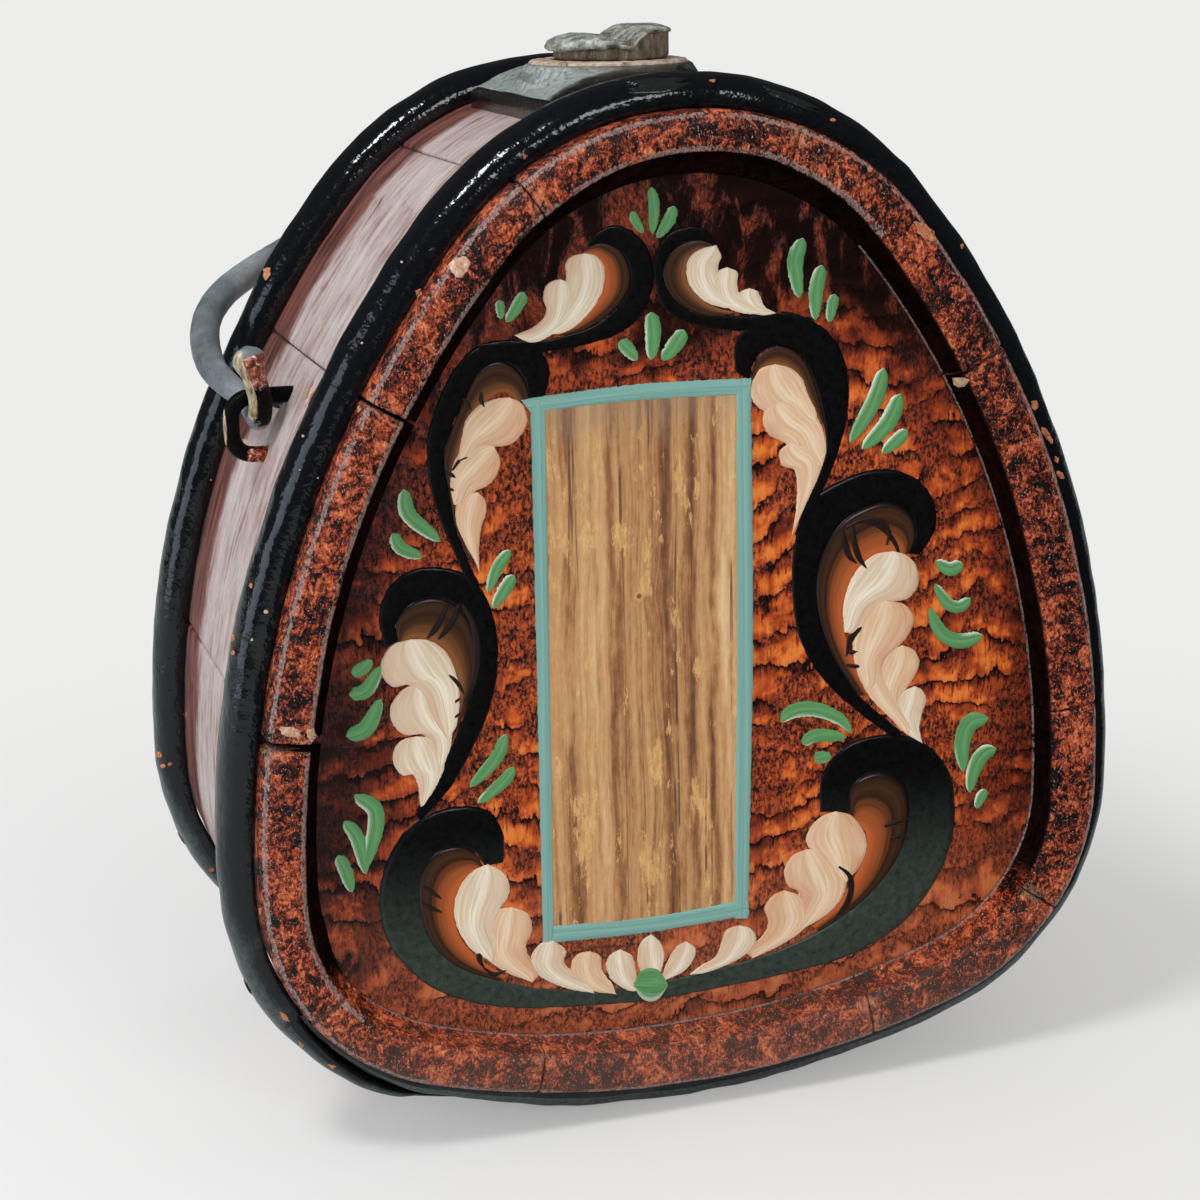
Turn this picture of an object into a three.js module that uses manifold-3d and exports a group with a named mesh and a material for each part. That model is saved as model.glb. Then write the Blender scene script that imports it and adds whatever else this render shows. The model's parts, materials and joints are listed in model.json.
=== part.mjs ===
// A small coopered carrying keg: ten staves run front to back around a rounded triangle, a head of
// three boards closes each end, and two half round hoops hold the staves. A saddle block, a collar
// and a stopper sit on top, and a bent carrying handle hooks into a staple on each side.
// Lengths are in millimetres. X is to the right of the front head, Y runs from the front head to the
// rear head, Z is up. The origin is on the floor, where the front hoop's worn underside rests.
// Every angle round the keg is the angle of the outward normal from straight down.
import * as THREE from 'three';
import { mergeVertices } from 'three/addons/utils/BufferGeometryUtils.js';
import Module from 'manifold-3d';

const wasm = await Module();
wasm.setup();

const CLEARANCE = 0.3;
const CUT_MARGIN = 10;
const RADIANS = Math.PI / 180;

// Outline of the staves: a flat bottom curve, two corners, two long sides and a round top.
const BASE_RADIUS = 243.4;
const BASE_TURN = 18.3 * RADIANS;
const CORNER_RADIUS = 60.3;
const CORNER_TURN = 88.9 * RADIANS;
const SIDE_RADIUS = 246.9;
const SIDE_TURN = 130.2 * RADIANS;

// Staves.
const KEG_LENGTH = 141;
const STAVE_THICKNESS = 16;
const RIM_ROUND = 4;
const RIM_WIDTH = 11;
const RIM_INNER_ROUND = 1.5;
const HEAD_RECESS = 9.8;
const CROZE_DEPTH = 3.8;
const CROZE_LIP = 0.5;
const BASE_THICKENING_RATIO = 0.35;
const STAVE_GAP = 0.35;
const TOP_STAVE_RIGHT = 26.9;
const TOP_STAVE_LEFT = 46.3;
const STAVE_NAMES = [
  'stave_corner_right', 'stave_lower_right', 'stave_side_right', 'stave_upper_right', 'stave_top',
  'stave_upper_left', 'stave_side_left', 'stave_lower_left', 'stave_corner_left', 'stave_base',
];
const STEP_LENGTH = 17;
const STEP_TURN = 0.2;

// Heads.
const HEAD_EDGE = 6.9;
const HEAD_THICKNESS = 9;
const HEAD_JOINT_LEFT = -41;
const HEAD_JOINT_RIGHT = 38;
const HEAD_EDGE_POINTS = 72;
const DOWEL_RADIUS = 2.5;
const DOWEL_LENGTH = 24;
const DOWEL_UPPER_Z = 175;
const DOWEL_LOWER_Z = 70;

// Hoops.
const HOOP_WIDTH = 17.7;
const HOOP_THICKNESS = 8.4;
const HOOP_EDGE = 1.4;
const HOOP_INSET = 15.5;
const HOOP_CENTRE_Y = KEG_LENGTH / 2 - HOOP_INSET;
const REST_WEAR = 0.9;
const LAP_START = -0.98;
const LAP_END = -0.25;
const LAP_TIP = 1.5;
const LAP_STAGGER = 0.1;
const HOOP_STEP_LENGTH = 20;
const HOOP_STEP_TURN = 0.24;
const NAIL_RADIUS = 1.1;
const NAIL_HEAD_RADIUS = 2.3;
const NAIL_HEAD_HEIGHT = 0.9;
const NAIL_BITE = 9;
const NAIL_SUNK = 0.1;

// Saddle block, collar and stopper.
const BUNG_RADIUS = 14;
const BOSS_HALF_WIDTH = 28;
const BOSS_TOP_RADIUS = 98;
const BOSS_THICKNESS = 7.5;
const BOSS_EDGE_DROP = 2;
const COLLAR_RADIUS = 21.5;
const COLLAR_SEAT_DEPTH = 3;
const COLLAR_RISE = 1.8;
const COLLAR_EDGE_DROP = 0.9;
const COLLAR_EDGE_WIDTH = 1.4;
const STOPPER_REACH = 6;
const STOPPER_TAPER = 1.2;
const STOPPER_END_EDGE = 0.8;
const STOPPER_CAP_RADIUS = 17.2;
const STOPPER_CAP_GAP = 0.8;
const STOPPER_CAP_LOW = 4;
const STOPPER_CAP_HIGH = 9;
const STOPPER_UNDER_EDGE = 1.5;
const STOPPER_LIP = 1;
const STOPPER_TOP_EDGE = 2;
const SHANK_CLEARANCE = 0.4;
const PEG_RADIUS = 2.2;
const PEG_INSET_X = 7;
const PEG_INSET_Y = 11.85;
const PEG_BITE = 10;
const PEG_PROUD = 0.5;

// Staples and carrying handle.
const STAPLE_BAR_RADIUS = 2.3;
const STAPLE_SPACING = 15.5;
const STAPLE_CROWN_OUT = 15.77;
const STAPLE_CORNER = 3.8;
const STAPLE_BITE = 11;
const PIVOT_TURN = 116.94 * RADIANS;
const HOOK_ROD_RADIUS = 3.2;
const HOOK_GAP = 0.5;
const HOOK_OUT = 8.77;
const HOOK_TIP_RISE = 14.5;
const HOOK_TIP_OUT = 1.6;
const HOOK_TIP_FORWARD = 0.4;
const HOOK_TIP_HALF_WIDTH = 4.4;
const HOOK_TIP_ROUND = 5;
const HOOK_FLARE_LENGTH = 6;
const HANDLE_RADIUS = 4.2;
const HANDLE_SWELL_START = 30;
const HANDLE_SWELL_END = 62;
const HANDLE_LEAN = 21 * RADIANS;
const HANDLE_ARM_OUT = 15.37;
const HANDLE_REACH = 115;
const HANDLE_SIDES = 12;
const HANDLE_STEPS = 84;

const COLOURS = {
  rim: 0x6a2c18,
  head: 0x8c3a14,
  hoop: 0x14171b,
  boss: 0x1d2022,
  collar: 0xa08a7c,
  stopper: 0x4c4a46,
  handle: 0x53585b,
  staple: 0x3a3431,
  peg: 0x6e5a48,
};

function material(colour, roughness, metalness) {
  return new THREE.MeshStandardMaterial({ color: colour, roughness, metalness });
}

const MATERIALS = {
  rim: material(COLOURS.rim, 0.45, 0),
  head: material(COLOURS.head, 0.45, 0),
  hoop: material(COLOURS.hoop, 0.25, 0),
  boss: material(COLOURS.boss, 0.3, 0),
  collar: material(COLOURS.collar, 0.8, 0),
  stopper: material(COLOURS.stopper, 0.7, 0),
  handle: material(COLOURS.handle, 0.45, 0.3),
  staple: material(COLOURS.staple, 0.5, 0.7),
  peg: material(COLOURS.peg, 0.7, 0),
};

// The outline round the keg.

// The last arc, over the top, takes the radius that closes the outline on the middle plane.
const TOP_RADIUS = (BASE_RADIUS * Math.sin(BASE_TURN)
  + CORNER_RADIUS * (Math.sin(CORNER_TURN) - Math.sin(BASE_TURN))
  + SIDE_RADIUS * (Math.sin(SIDE_TURN) - Math.sin(CORNER_TURN))) / Math.sin(SIDE_TURN);

// Where each stave starts. The top stave's two joints are set by its width, so that it always
// carries the saddle block's pegs.
const STAVE_JOINTS = [
  0.21, 0.955, 1.66, 2.095, Math.PI - Math.asin(TOP_STAVE_RIGHT / TOP_RADIUS),
  Math.PI + Math.asin(TOP_STAVE_LEFT / TOP_RADIUS), 4.198, 4.558, 5.323, 6.088,
];

const ARCS = [
  { until: BASE_TURN, radius: BASE_RADIUS },
  { until: CORNER_TURN, radius: CORNER_RADIUS },
  { until: SIDE_TURN, radius: SIDE_RADIUS },
  { until: Math.PI, radius: TOP_RADIUS },
];

const STAVE_BOTTOM_Z = HOOP_THICKNESS - REST_WEAR;

// A point on the outline, raised above the staves' outer face by height.
function outlinePoint(angle, height) {
  const turn = Math.atan2(Math.sin(angle), Math.cos(angle));
  const side = turn < 0 ? -1 : 1;
  const size = Math.abs(turn);
  let x = 0;
  let z = STAVE_BOTTOM_Z;
  let from = 0;
  for (const arc of ARCS) {
    const to = Math.min(size, arc.until);
    x += arc.radius * (Math.sin(to) - Math.sin(from));
    z += arc.radius * (Math.cos(from) - Math.cos(to));
    from = to;
    if (size <= arc.until) break;
  }
  return new THREE.Vector2(side * (x + height * Math.sin(size)), z - height * Math.cos(size));
}

function halfLength(size) {
  let length = 0;
  let from = 0;
  for (const arc of ARCS) {
    const to = Math.min(size, arc.until);
    length += arc.radius * Math.max(to - from, 0);
    from = Math.max(to, from);
  }
  return length;
}

// Distance round the outline from straight down to an angle, which may pass a full turn.
function lengthTo(angle) {
  const turns = Math.floor(angle / (2 * Math.PI));
  const rest = angle - turns * 2 * Math.PI;
  const whole = 2 * halfLength(Math.PI);
  const part = rest <= Math.PI ? halfLength(rest) : whole - halfLength(2 * Math.PI - rest);
  return turns * whole + part;
}

// Steps are shared between length and turn, so flat sides and tight corners both look even.
function spacing(angle, stepLength, stepTurn) {
  return lengthTo(angle) / stepLength + angle / stepTurn;
}

function angleBetween(from, to, share, stepLength, stepTurn) {
  if (share <= 0) return from;
  if (share >= 1) return to;
  const start = spacing(from, stepLength, stepTurn);
  const target = start + share * (spacing(to, stepLength, stepTurn) - start);
  let low = from;
  let high = to;
  for (let round = 0; round < 40; round += 1) {
    const middle = (low + high) / 2;
    if (spacing(middle, stepLength, stepTurn) < target) low = middle;
    else high = middle;
  }
  return (low + high) / 2;
}

function stepsBetween(from, to, stepLength, stepTurn) {
  const count = spacing(to, stepLength, stepTurn) - spacing(from, stepLength, stepTurn);
  return Math.max(2, Math.round(count));
}

// The angle on one side of the keg where the outline, raised by height, passes a given level.
function angleAtLevel(level, height) {
  let low = 0;
  let high = Math.PI;
  for (let round = 0; round < 50; round += 1) {
    const middle = (low + high) / 2;
    if (outlinePoint(middle, height).y < level) low = middle;
    else high = middle;
  }
  return (low + high) / 2;
}

// The base and corner staves are thicker than the rest.
function thickening(angle) {
  const turn = Math.abs(Math.atan2(Math.sin(angle), Math.cos(angle)));
  return 1 + BASE_THICKENING_RATIO * (1 - THREE.MathUtils.smoothstep(turn, BASE_TURN, CORNER_TURN));
}

function staveHeight(angle, height) {
  if (height > -RIM_ROUND) return height;
  return -RIM_ROUND + (height + RIM_ROUND) * thickening(angle);
}

// Turning geometry into solids and back.

function toSolid(geometry) {
  const bare = geometry.clone();
  bare.deleteAttribute('normal');
  bare.deleteAttribute('uv');
  const merged = mergeVertices(bare, 1e-4);
  return new wasm.Manifold(new wasm.Mesh({
    numProp: 3,
    vertProperties: new Float32Array(merged.attributes.position.array),
    triVerts: new Uint32Array(merged.index.array),
  }));
}

function toGeometry(solid) {
  const mesh = solid.getMesh();
  const indexed = new THREE.BufferGeometry();
  indexed.setAttribute('position', new THREE.BufferAttribute(new Float32Array(mesh.vertProperties), 3));
  indexed.setIndex(new THREE.BufferAttribute(new Uint32Array(mesh.triVerts), 1));
  const geometry = indexed.toNonIndexed();
  geometry.computeVertexNormals();
  return geometry;
}

function cut(geometry, cutters) {
  let solid = toSolid(geometry);
  for (const cutter of cutters) solid = solid.subtract(toSolid(cutter));
  return toGeometry(solid);
}

function shapeFrom(points) {
  return new THREE.Shape(points.map(([x, y]) => new THREE.Vector2(x, y)));
}

// Bends a flat section round the outline. In the section, x is the height above the staves and y
// is the place along the keg; place moves a point for its share of the way round.
function bendRound(points, from, to, stepLength, stepTurn, place) {
  const steps = stepsBetween(from, to, stepLength, stepTurn);
  const geometry = new THREE.ExtrudeGeometry(shapeFrom(points), {
    depth: 1, steps, bevelEnabled: false,
  });
  const position = geometry.attributes.position;
  for (let i = 0; i < position.count; i += 1) {
    const share = position.getZ(i);
    const angle = angleBetween(from, to, share, stepLength, stepTurn);
    const spot = place(position.getX(i), position.getY(i), angle, share);
    const shift = spot.shift ?? 0;
    const flat = outlinePoint(angle, spot.height);
    position.setXYZ(i, flat.x + shift * Math.cos(angle), spot.y, flat.y + shift * Math.sin(angle));
  }
  geometry.computeVertexNormals();
  return geometry;
}

// Bends a closed cylinder along a curve; radii gives the two half widths at each share of it.
function rod(curve, sides, steps, radii) {
  const geometry = new THREE.CylinderGeometry(1, 1, 1, sides, steps);
  const frames = curve.computeFrenetFrames(steps, false);
  const position = geometry.attributes.position;
  for (let i = 0; i < position.count; i += 1) {
    const share = 0.5 - position.getY(i);
    const index = Math.round(share * steps);
    const [first, second] = radii(share);
    const point = curve.getPointAt(index / steps);
    point.addScaledVector(frames.normals[index], position.getX(i) * first);
    point.addScaledVector(frames.binormals[index], position.getZ(i) * second);
    position.setXYZ(i, point.x, point.y, point.z);
  }
  geometry.computeVertexNormals();
  return geometry;
}

// A straight cylinder between two points.
function pin(start, end, radius, sides) {
  const length = start.distanceTo(end);
  const geometry = new THREE.CylinderGeometry(radius, radius, length, sides);
  const direction = end.clone().sub(start).normalize();
  geometry.applyQuaternion(new THREE.Quaternion().setFromUnitVectors(new THREE.Vector3(0, 1, 0), direction));
  geometry.translate((start.x + end.x) / 2, (start.y + end.y) / 2, (start.z + end.z) / 2);
  return geometry;
}

function upright(radius, bottom, top, sides, x = 0, y = 0) {
  return pin(new THREE.Vector3(x, y, bottom), new THREE.Vector3(x, y, top), radius, sides);
}

// Levels shared by the pieces on top.

const STAVE_TOP_Z = outlinePoint(Math.PI, 0).y;
const BOSS_TOP_Z = STAVE_TOP_Z + BOSS_THICKNESS;
const COLLAR_SEAT_Z = BOSS_TOP_Z - COLLAR_SEAT_DEPTH;
const COLLAR_TOP_Z = BOSS_TOP_Z + COLLAR_RISE;
const STOPPER_BOTTOM_Z = STAVE_TOP_Z - STAVE_THICKNESS - STOPPER_REACH;
const BOSS_HALF_LENGTH = HOOP_CENTRE_Y - HOOP_WIDTH / 2 - CLEARANCE;

const PEG_X = BOSS_HALF_WIDTH - PEG_INSET_X;
const PEG_Y = BOSS_HALF_LENGTH - PEG_INSET_Y;
const pegSpots = [[-1, -1], [1, -1], [-1, 1], [1, 1]].map(([sx, sy]) => [sx * PEG_X, sy * PEG_Y]);

function arcLevel(top, radius, x) {
  return top - radius + Math.sqrt(radius * radius - x * x);
}

function pegBottom() {
  return arcLevel(STAVE_TOP_Z, TOP_RADIUS, PEG_X) - PEG_BITE;
}

function pegTop() {
  return arcLevel(BOSS_TOP_Z, BOSS_TOP_RADIUS, PEG_X) + PEG_PROUD;
}

// Staples.

// The upper leg goes into the stave at PIVOT_TURN, and the rest is placed out from there.
const PIVOT_Z = outlinePoint(PIVOT_TURN, 0).y;
const LOWER_LEG_Z = PIVOT_Z - STAPLE_SPACING;

function surfaceX(level) {
  return outlinePoint(angleAtLevel(level, 0), 0).x;
}

const STAPLE_CROWN_X = surfaceX(PIVOT_Z) + STAPLE_CROWN_OUT;
const HOOK_X = surfaceX(PIVOT_Z) + HOOK_OUT;
const HANDLE_ARM_X = surfaceX(PIVOT_Z) + HANDLE_ARM_OUT;

// side is -1 on the left and 1 on the right. The upper leg is the bar the handle turns on.
function staplePath(side) {
  const straight = STAPLE_CROWN_X - STAPLE_CORNER;
  const upperEnd = surfaceX(PIVOT_Z) - STAPLE_BITE;
  const lowerEnd = surfaceX(LOWER_LEG_Z) - STAPLE_BITE;
  const points = [[upperEnd, PIVOT_Z], [(upperEnd + straight) / 2, PIVOT_Z]];
  for (const [centre, start] of [[PIVOT_Z - STAPLE_CORNER, 0], [LOWER_LEG_Z + STAPLE_CORNER, Math.PI / 2]]) {
    for (let i = 0; i <= 4; i += 1) {
      const turn = start + (i / 4) * Math.PI / 2;
      points.push([straight + STAPLE_CORNER * Math.sin(turn), centre + STAPLE_CORNER * Math.cos(turn)]);
    }
  }
  points.push([(lowerEnd + straight) / 2, LOWER_LEG_Z]);
  points.push([lowerEnd, LOWER_LEG_Z]);
  const spots = points.map(([x, z]) => new THREE.Vector3(side * x, 0, z));
  return new THREE.CatmullRomCurve3(spots, false, 'centripetal');
}

function stapleHoles(side) {
  const radius = STAPLE_BAR_RADIUS + CLEARANCE;
  return [PIVOT_Z, LOWER_LEG_Z].map((level) => {
    const surface = surfaceX(level);
    const inner = new THREE.Vector3(side * (surface - STAPLE_BITE - CLEARANCE), 0, level);
    const outer = new THREE.Vector3(side * (surface + STAPLE_BITE), 0, level);
    return pin(inner, outer, radius, 14);
  });
}

// Hoop nails.

// One nail near each end of a hoop's lap, driven square to the outline.
const NAIL_ANGLES = [LAP_START - 0.2, LAP_END + 0.05];

function nailPoint(angle, height, y) {
  const flat = outlinePoint(angle, height);
  return new THREE.Vector3(flat.x, y, flat.y);
}

function nailHole(angle, y) {
  return pin(
    nailPoint(angle, -NAIL_BITE - CLEARANCE, y),
    nailPoint(angle, HOOP_THICKNESS + NAIL_HEAD_HEIGHT, y),
    NAIL_RADIUS + CLEARANCE, 10,
  );
}

function nail(angle, y) {
  const shank = toSolid(pin(
    nailPoint(angle, -NAIL_BITE, y), nailPoint(angle, HOOP_THICKNESS + CLEARANCE + NAIL_SUNK, y), NAIL_RADIUS, 8,
  ));
  const head = toSolid(pin(
    nailPoint(angle, HOOP_THICKNESS + CLEARANCE, y),
    nailPoint(angle, HOOP_THICKNESS + CLEARANCE + NAIL_HEAD_HEIGHT, y), NAIL_HEAD_RADIUS, 10,
  ));
  return toGeometry(shank.add(head));
}

// Staves.

// One end of the section: a round rim, an inner bevel and the groove that holds the head.
function rimPoints() {
  const end = KEG_LENGTH / 2;
  const points = [];
  for (let i = 0; i <= 3; i += 1) {
    const turn = (i / 3) * Math.PI / 2;
    points.push([-RIM_ROUND + RIM_ROUND * Math.cos(turn), end - RIM_ROUND + RIM_ROUND * Math.sin(turn)]);
  }
  points.push([-RIM_WIDTH + RIM_INNER_ROUND, end]);
  points.push([-RIM_WIDTH, end - RIM_INNER_ROUND]);
  const grooveStart = end - HEAD_RECESS + CLEARANCE;
  const grooveEnd = end - HEAD_RECESS - HEAD_EDGE - CLEARANCE;
  points.push([-STAVE_THICKNESS, grooveStart + CROZE_LIP]);
  points.push([-STAVE_THICKNESS, grooveStart]);
  points.push([-STAVE_THICKNESS + CROZE_DEPTH, grooveStart]);
  points.push([-STAVE_THICKNESS + CROZE_DEPTH, grooveEnd]);
  points.push([-STAVE_THICKNESS, grooveEnd]);
  return points;
}

function staveSection() {
  const rear = rimPoints();
  const front = rear.map(([height, y]) => [height, -y]).reverse();
  return [...rear, ...front];
}

function stave(from, to) {
  return bendRound(staveSection(), from, to, STEP_LENGTH, STEP_TURN, (height, y, angle, share) => {
    let shift = 0;
    if (share <= 0) shift = STAVE_GAP / 2;
    if (share >= 1) shift = -STAVE_GAP / 2;
    return { height: staveHeight(angle, height), y, shift };
  });
}

// Hoops.

function hoopSection() {
  const points = [[0, -HOOP_WIDTH / 2]];
  const count = 8;
  for (let i = 0; i <= count; i += 1) {
    const turn = (i / count) * Math.PI;
    const round = HOOP_EDGE + (HOOP_THICKNESS - HOOP_EDGE) * Math.sin(turn);
    points.push([round, -HOOP_WIDTH / 2 * Math.cos(turn)]);
  }
  points.push([0, HOOP_WIDTH / 2]);
  return points;
}

// The hoop goes once round and its ends lap: the inner tongue thins to its tip underneath, and the
// outer tongue thins to its tip above.
function hoop(centreY) {
  const lap = LAP_END - LAP_START;
  const from = LAP_START;
  const to = LAP_END - LAP_STAGGER + 2 * Math.PI;
  return bendRound(hoopSection(), from, to, HOOP_STEP_LENGTH, HOOP_STEP_TURN, (height, y, angle) => {
    let inner = CLEARANCE;
    let outer = HOOP_THICKNESS + CLEARANCE;
    if (angle < LAP_END) {
      outer = LAP_TIP + (HOOP_THICKNESS - 2 * LAP_TIP) * ((angle - from) / lap);
    }
    if (angle > from + 2 * Math.PI) {
      const share = (angle - from - 2 * Math.PI) / lap;
      inner = CLEARANCE + LAP_TIP + (HOOP_THICKNESS - 2 * LAP_TIP) * share;
    }
    const raised = inner + (outer - inner) * (height / HOOP_THICKNESS);
    return { height: raised, y: centreY + y };
  });
}

// Wear has flattened the underside where the keg stands.
function flattened(geometry) {
  const position = geometry.attributes.position;
  for (let i = 0; i < position.count; i += 1) {
    if (position.getZ(i) < 0) position.setZ(i, 0);
  }
  geometry.computeVertexNormals();
  return geometry;
}

// Heads.

function headOutline(inset) {
  const points = [];
  for (let i = 0; i < HEAD_EDGE_POINTS; i += 1) {
    const angle = angleBetween(0, 2 * Math.PI, i / HEAD_EDGE_POINTS, STEP_LENGTH, STEP_TURN);
    const flat = outlinePoint(angle, staveHeight(angle, -inset));
    points.push([flat.x, flat.y]);
  }
  return points;
}

// A plate in the XZ plane between two places along the keg.
function plate(points, fromY, toY) {
  const geometry = new THREE.ExtrudeGeometry(shapeFrom(points), {
    depth: toY - fromY, steps: 1, bevelEnabled: false,
  });
  geometry.rotateX(Math.PI / 2);
  geometry.translate(0, toY, 0);
  return geometry;
}

const FRONT_FACE_Y = -KEG_LENGTH / 2 + HEAD_RECESS;

function frontHead() {
  const edge = plate(
    headOutline(STAVE_THICKNESS - CROZE_DEPTH + CLEARANCE), FRONT_FACE_Y, FRONT_FACE_Y + HEAD_EDGE,
  );
  const panel = plate(
    headOutline(STAVE_THICKNESS + 2 * CLEARANCE), FRONT_FACE_Y, FRONT_FACE_Y + HEAD_THICKNESS,
  );
  return toSolid(edge).add(toSolid(panel));
}

const DOWEL_Y = FRONT_FACE_Y + HEAD_EDGE / 2;
const dowelSpots = [];
for (const [column, x] of [['left', HEAD_JOINT_LEFT], ['right', HEAD_JOINT_RIGHT]]) {
  for (const [row, z] of [['upper', DOWEL_UPPER_Z], ['lower', DOWEL_LOWER_Z]]) {
    dowelSpots.push({ name: `${column}_${row}`, x, z });
  }
}

function dowel(spot, extraLength, extraRadius) {
  const half = DOWEL_LENGTH / 2 + extraLength;
  return pin(
    new THREE.Vector3(spot.x - half, DOWEL_Y, spot.z),
    new THREE.Vector3(spot.x + half, DOWEL_Y, spot.z), DOWEL_RADIUS + extraRadius, 10,
  );
}

// The three boards of a head, parted at their joints and bored for the dowels between them.
function headBoards() {
  const blank = frontHead();
  const wide = 400;
  const cuts = [
    ['left', -wide, HEAD_JOINT_LEFT - CLEARANCE / 2],
    ['middle', HEAD_JOINT_LEFT + CLEARANCE / 2, HEAD_JOINT_RIGHT - CLEARANCE / 2],
    ['right', HEAD_JOINT_RIGHT + CLEARANCE / 2, wide],
  ];
  return cuts.map(([name, from, to]) => {
    const slab = new THREE.BoxGeometry(to - from, wide, 2 * wide);
    slab.translate((from + to) / 2, 0, 0);
    let board = blank.intersect(toSolid(slab));
    for (const spot of dowelSpots) board = board.subtract(toSolid(dowel(spot, CLEARANCE, CLEARANCE)));
    return { name, geometry: toGeometry(board) };
  });
}

// Pieces on top.

function boss() {
  const points = [];
  const count = 12;
  for (let i = 0; i <= count; i += 1) {
    const x = -BOSS_HALF_WIDTH + (2 * BOSS_HALF_WIDTH * i) / count;
    const end = i === 0 || i === count;
    points.push([x, arcLevel(BOSS_TOP_Z, BOSS_TOP_RADIUS, x) - (end ? BOSS_EDGE_DROP : 0)]);
  }
  for (let i = count; i >= 0; i -= 1) {
    const x = -BOSS_HALF_WIDTH + (2 * BOSS_HALF_WIDTH * i) / count;
    points.push([x, arcLevel(STAVE_TOP_Z + CLEARANCE, TOP_RADIUS + CLEARANCE, x)]);
  }
  const block = plate(points, -BOSS_HALF_LENGTH, BOSS_HALF_LENGTH);
  const cutters = [
    upright(BUNG_RADIUS, STAVE_TOP_Z - BOSS_THICKNESS, BOSS_TOP_Z + CUT_MARGIN, 24),
    upright(COLLAR_RADIUS + CLEARANCE, COLLAR_SEAT_Z - CLEARANCE, BOSS_TOP_Z + CUT_MARGIN, 28),
  ];
  for (const [x, y] of pegSpots) {
    cutters.push(upright(
      PEG_RADIUS + CLEARANCE, STAVE_TOP_Z - 2 * PEG_BITE, BOSS_TOP_Z + CUT_MARGIN, 10, x, y,
    ));
  }
  return cut(block, cutters);
}

function lathe(points, sides) {
  const geometry = new THREE.LatheGeometry(points.map(([r, z]) => new THREE.Vector2(r, z)), sides);
  geometry.rotateX(Math.PI / 2);
  return geometry;
}

function collar() {
  const points = [
    [BUNG_RADIUS, COLLAR_SEAT_Z],
    [COLLAR_RADIUS, COLLAR_SEAT_Z],
    [COLLAR_RADIUS, COLLAR_TOP_Z - COLLAR_EDGE_DROP],
    [COLLAR_RADIUS - COLLAR_EDGE_WIDTH, COLLAR_TOP_Z],
    [BUNG_RADIUS, COLLAR_TOP_Z],
    [BUNG_RADIUS, COLLAR_SEAT_Z],
  ];
  return lathe(points, 28);
}

// The stopper's worn cap is low on the left and stands up on the right.
function stopper() {
  const shank = BUNG_RADIUS - SHANK_CLEARANCE;
  const under = COLLAR_TOP_Z + STOPPER_CAP_GAP;
  const points = [
    [0, STOPPER_BOTTOM_Z],
    [shank - STOPPER_TAPER - STOPPER_END_EDGE, STOPPER_BOTTOM_Z],
    [shank - STOPPER_TAPER, STOPPER_BOTTOM_Z + STOPPER_END_EDGE],
    [shank, under],
    [STOPPER_CAP_RADIUS - STOPPER_UNDER_EDGE, under],
    [STOPPER_CAP_RADIUS, under + STOPPER_LIP],
    [STOPPER_CAP_RADIUS, under + 0.6 * STOPPER_CAP_LOW],
    [STOPPER_CAP_RADIUS - STOPPER_TOP_EDGE, under + STOPPER_CAP_LOW],
    [STOPPER_CAP_RADIUS * 0.5, under + STOPPER_CAP_LOW],
    [0, under + STOPPER_CAP_LOW],
  ];
  const geometry = lathe(points, 20);
  const position = geometry.attributes.position;
  for (let i = 0; i < position.count; i += 1) {
    const z = position.getZ(i);
    const lifted = Math.max(0, (z - under - STOPPER_LIP) / (STOPPER_CAP_LOW - STOPPER_LIP));
    const across = THREE.MathUtils.smoothstep(position.getX(i), -0.3 * STOPPER_CAP_RADIUS, STOPPER_CAP_RADIUS * 0.6);
    position.setZ(i, z + lifted * across * (STOPPER_CAP_HIGH - STOPPER_CAP_LOW));
  }
  geometry.computeVertexNormals();
  return geometry;
}

// Carrying handle.

// The handle lies back behind the keg. Its arch lies in a plane that leans up from level by
// HANDLE_LEAN; each end turns under the staple's bar and up in front of it as an open hook.
function handlePoint(x, along) {
  const radius = STAPLE_BAR_RADIUS + HOOK_GAP + HOOK_ROD_RADIUS;
  return new THREE.Vector3(
    x,
    along * Math.cos(HANDLE_LEAN) + radius * Math.sin(HANDLE_LEAN),
    PIVOT_Z + along * Math.sin(HANDLE_LEAN) - radius * Math.cos(HANDLE_LEAN),
  );
}

// The arm is widest where it passes the rear hoop, and the arch draws in behind it.
const HANDLE_PASS = (HOOP_CENTRE_Y + HOOP_WIDTH / 2) / Math.cos(HANDLE_LEAN);
const ARM_SHARES = [[1, 0.351], [1, 0.57], [0.968, 0.79], [0.908, 0.972]];
const ARCH_SHARES = [[0.845, 0.17], [0.74, 0.395], [0.56, 0.715], [0.3, 0.94]];

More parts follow.
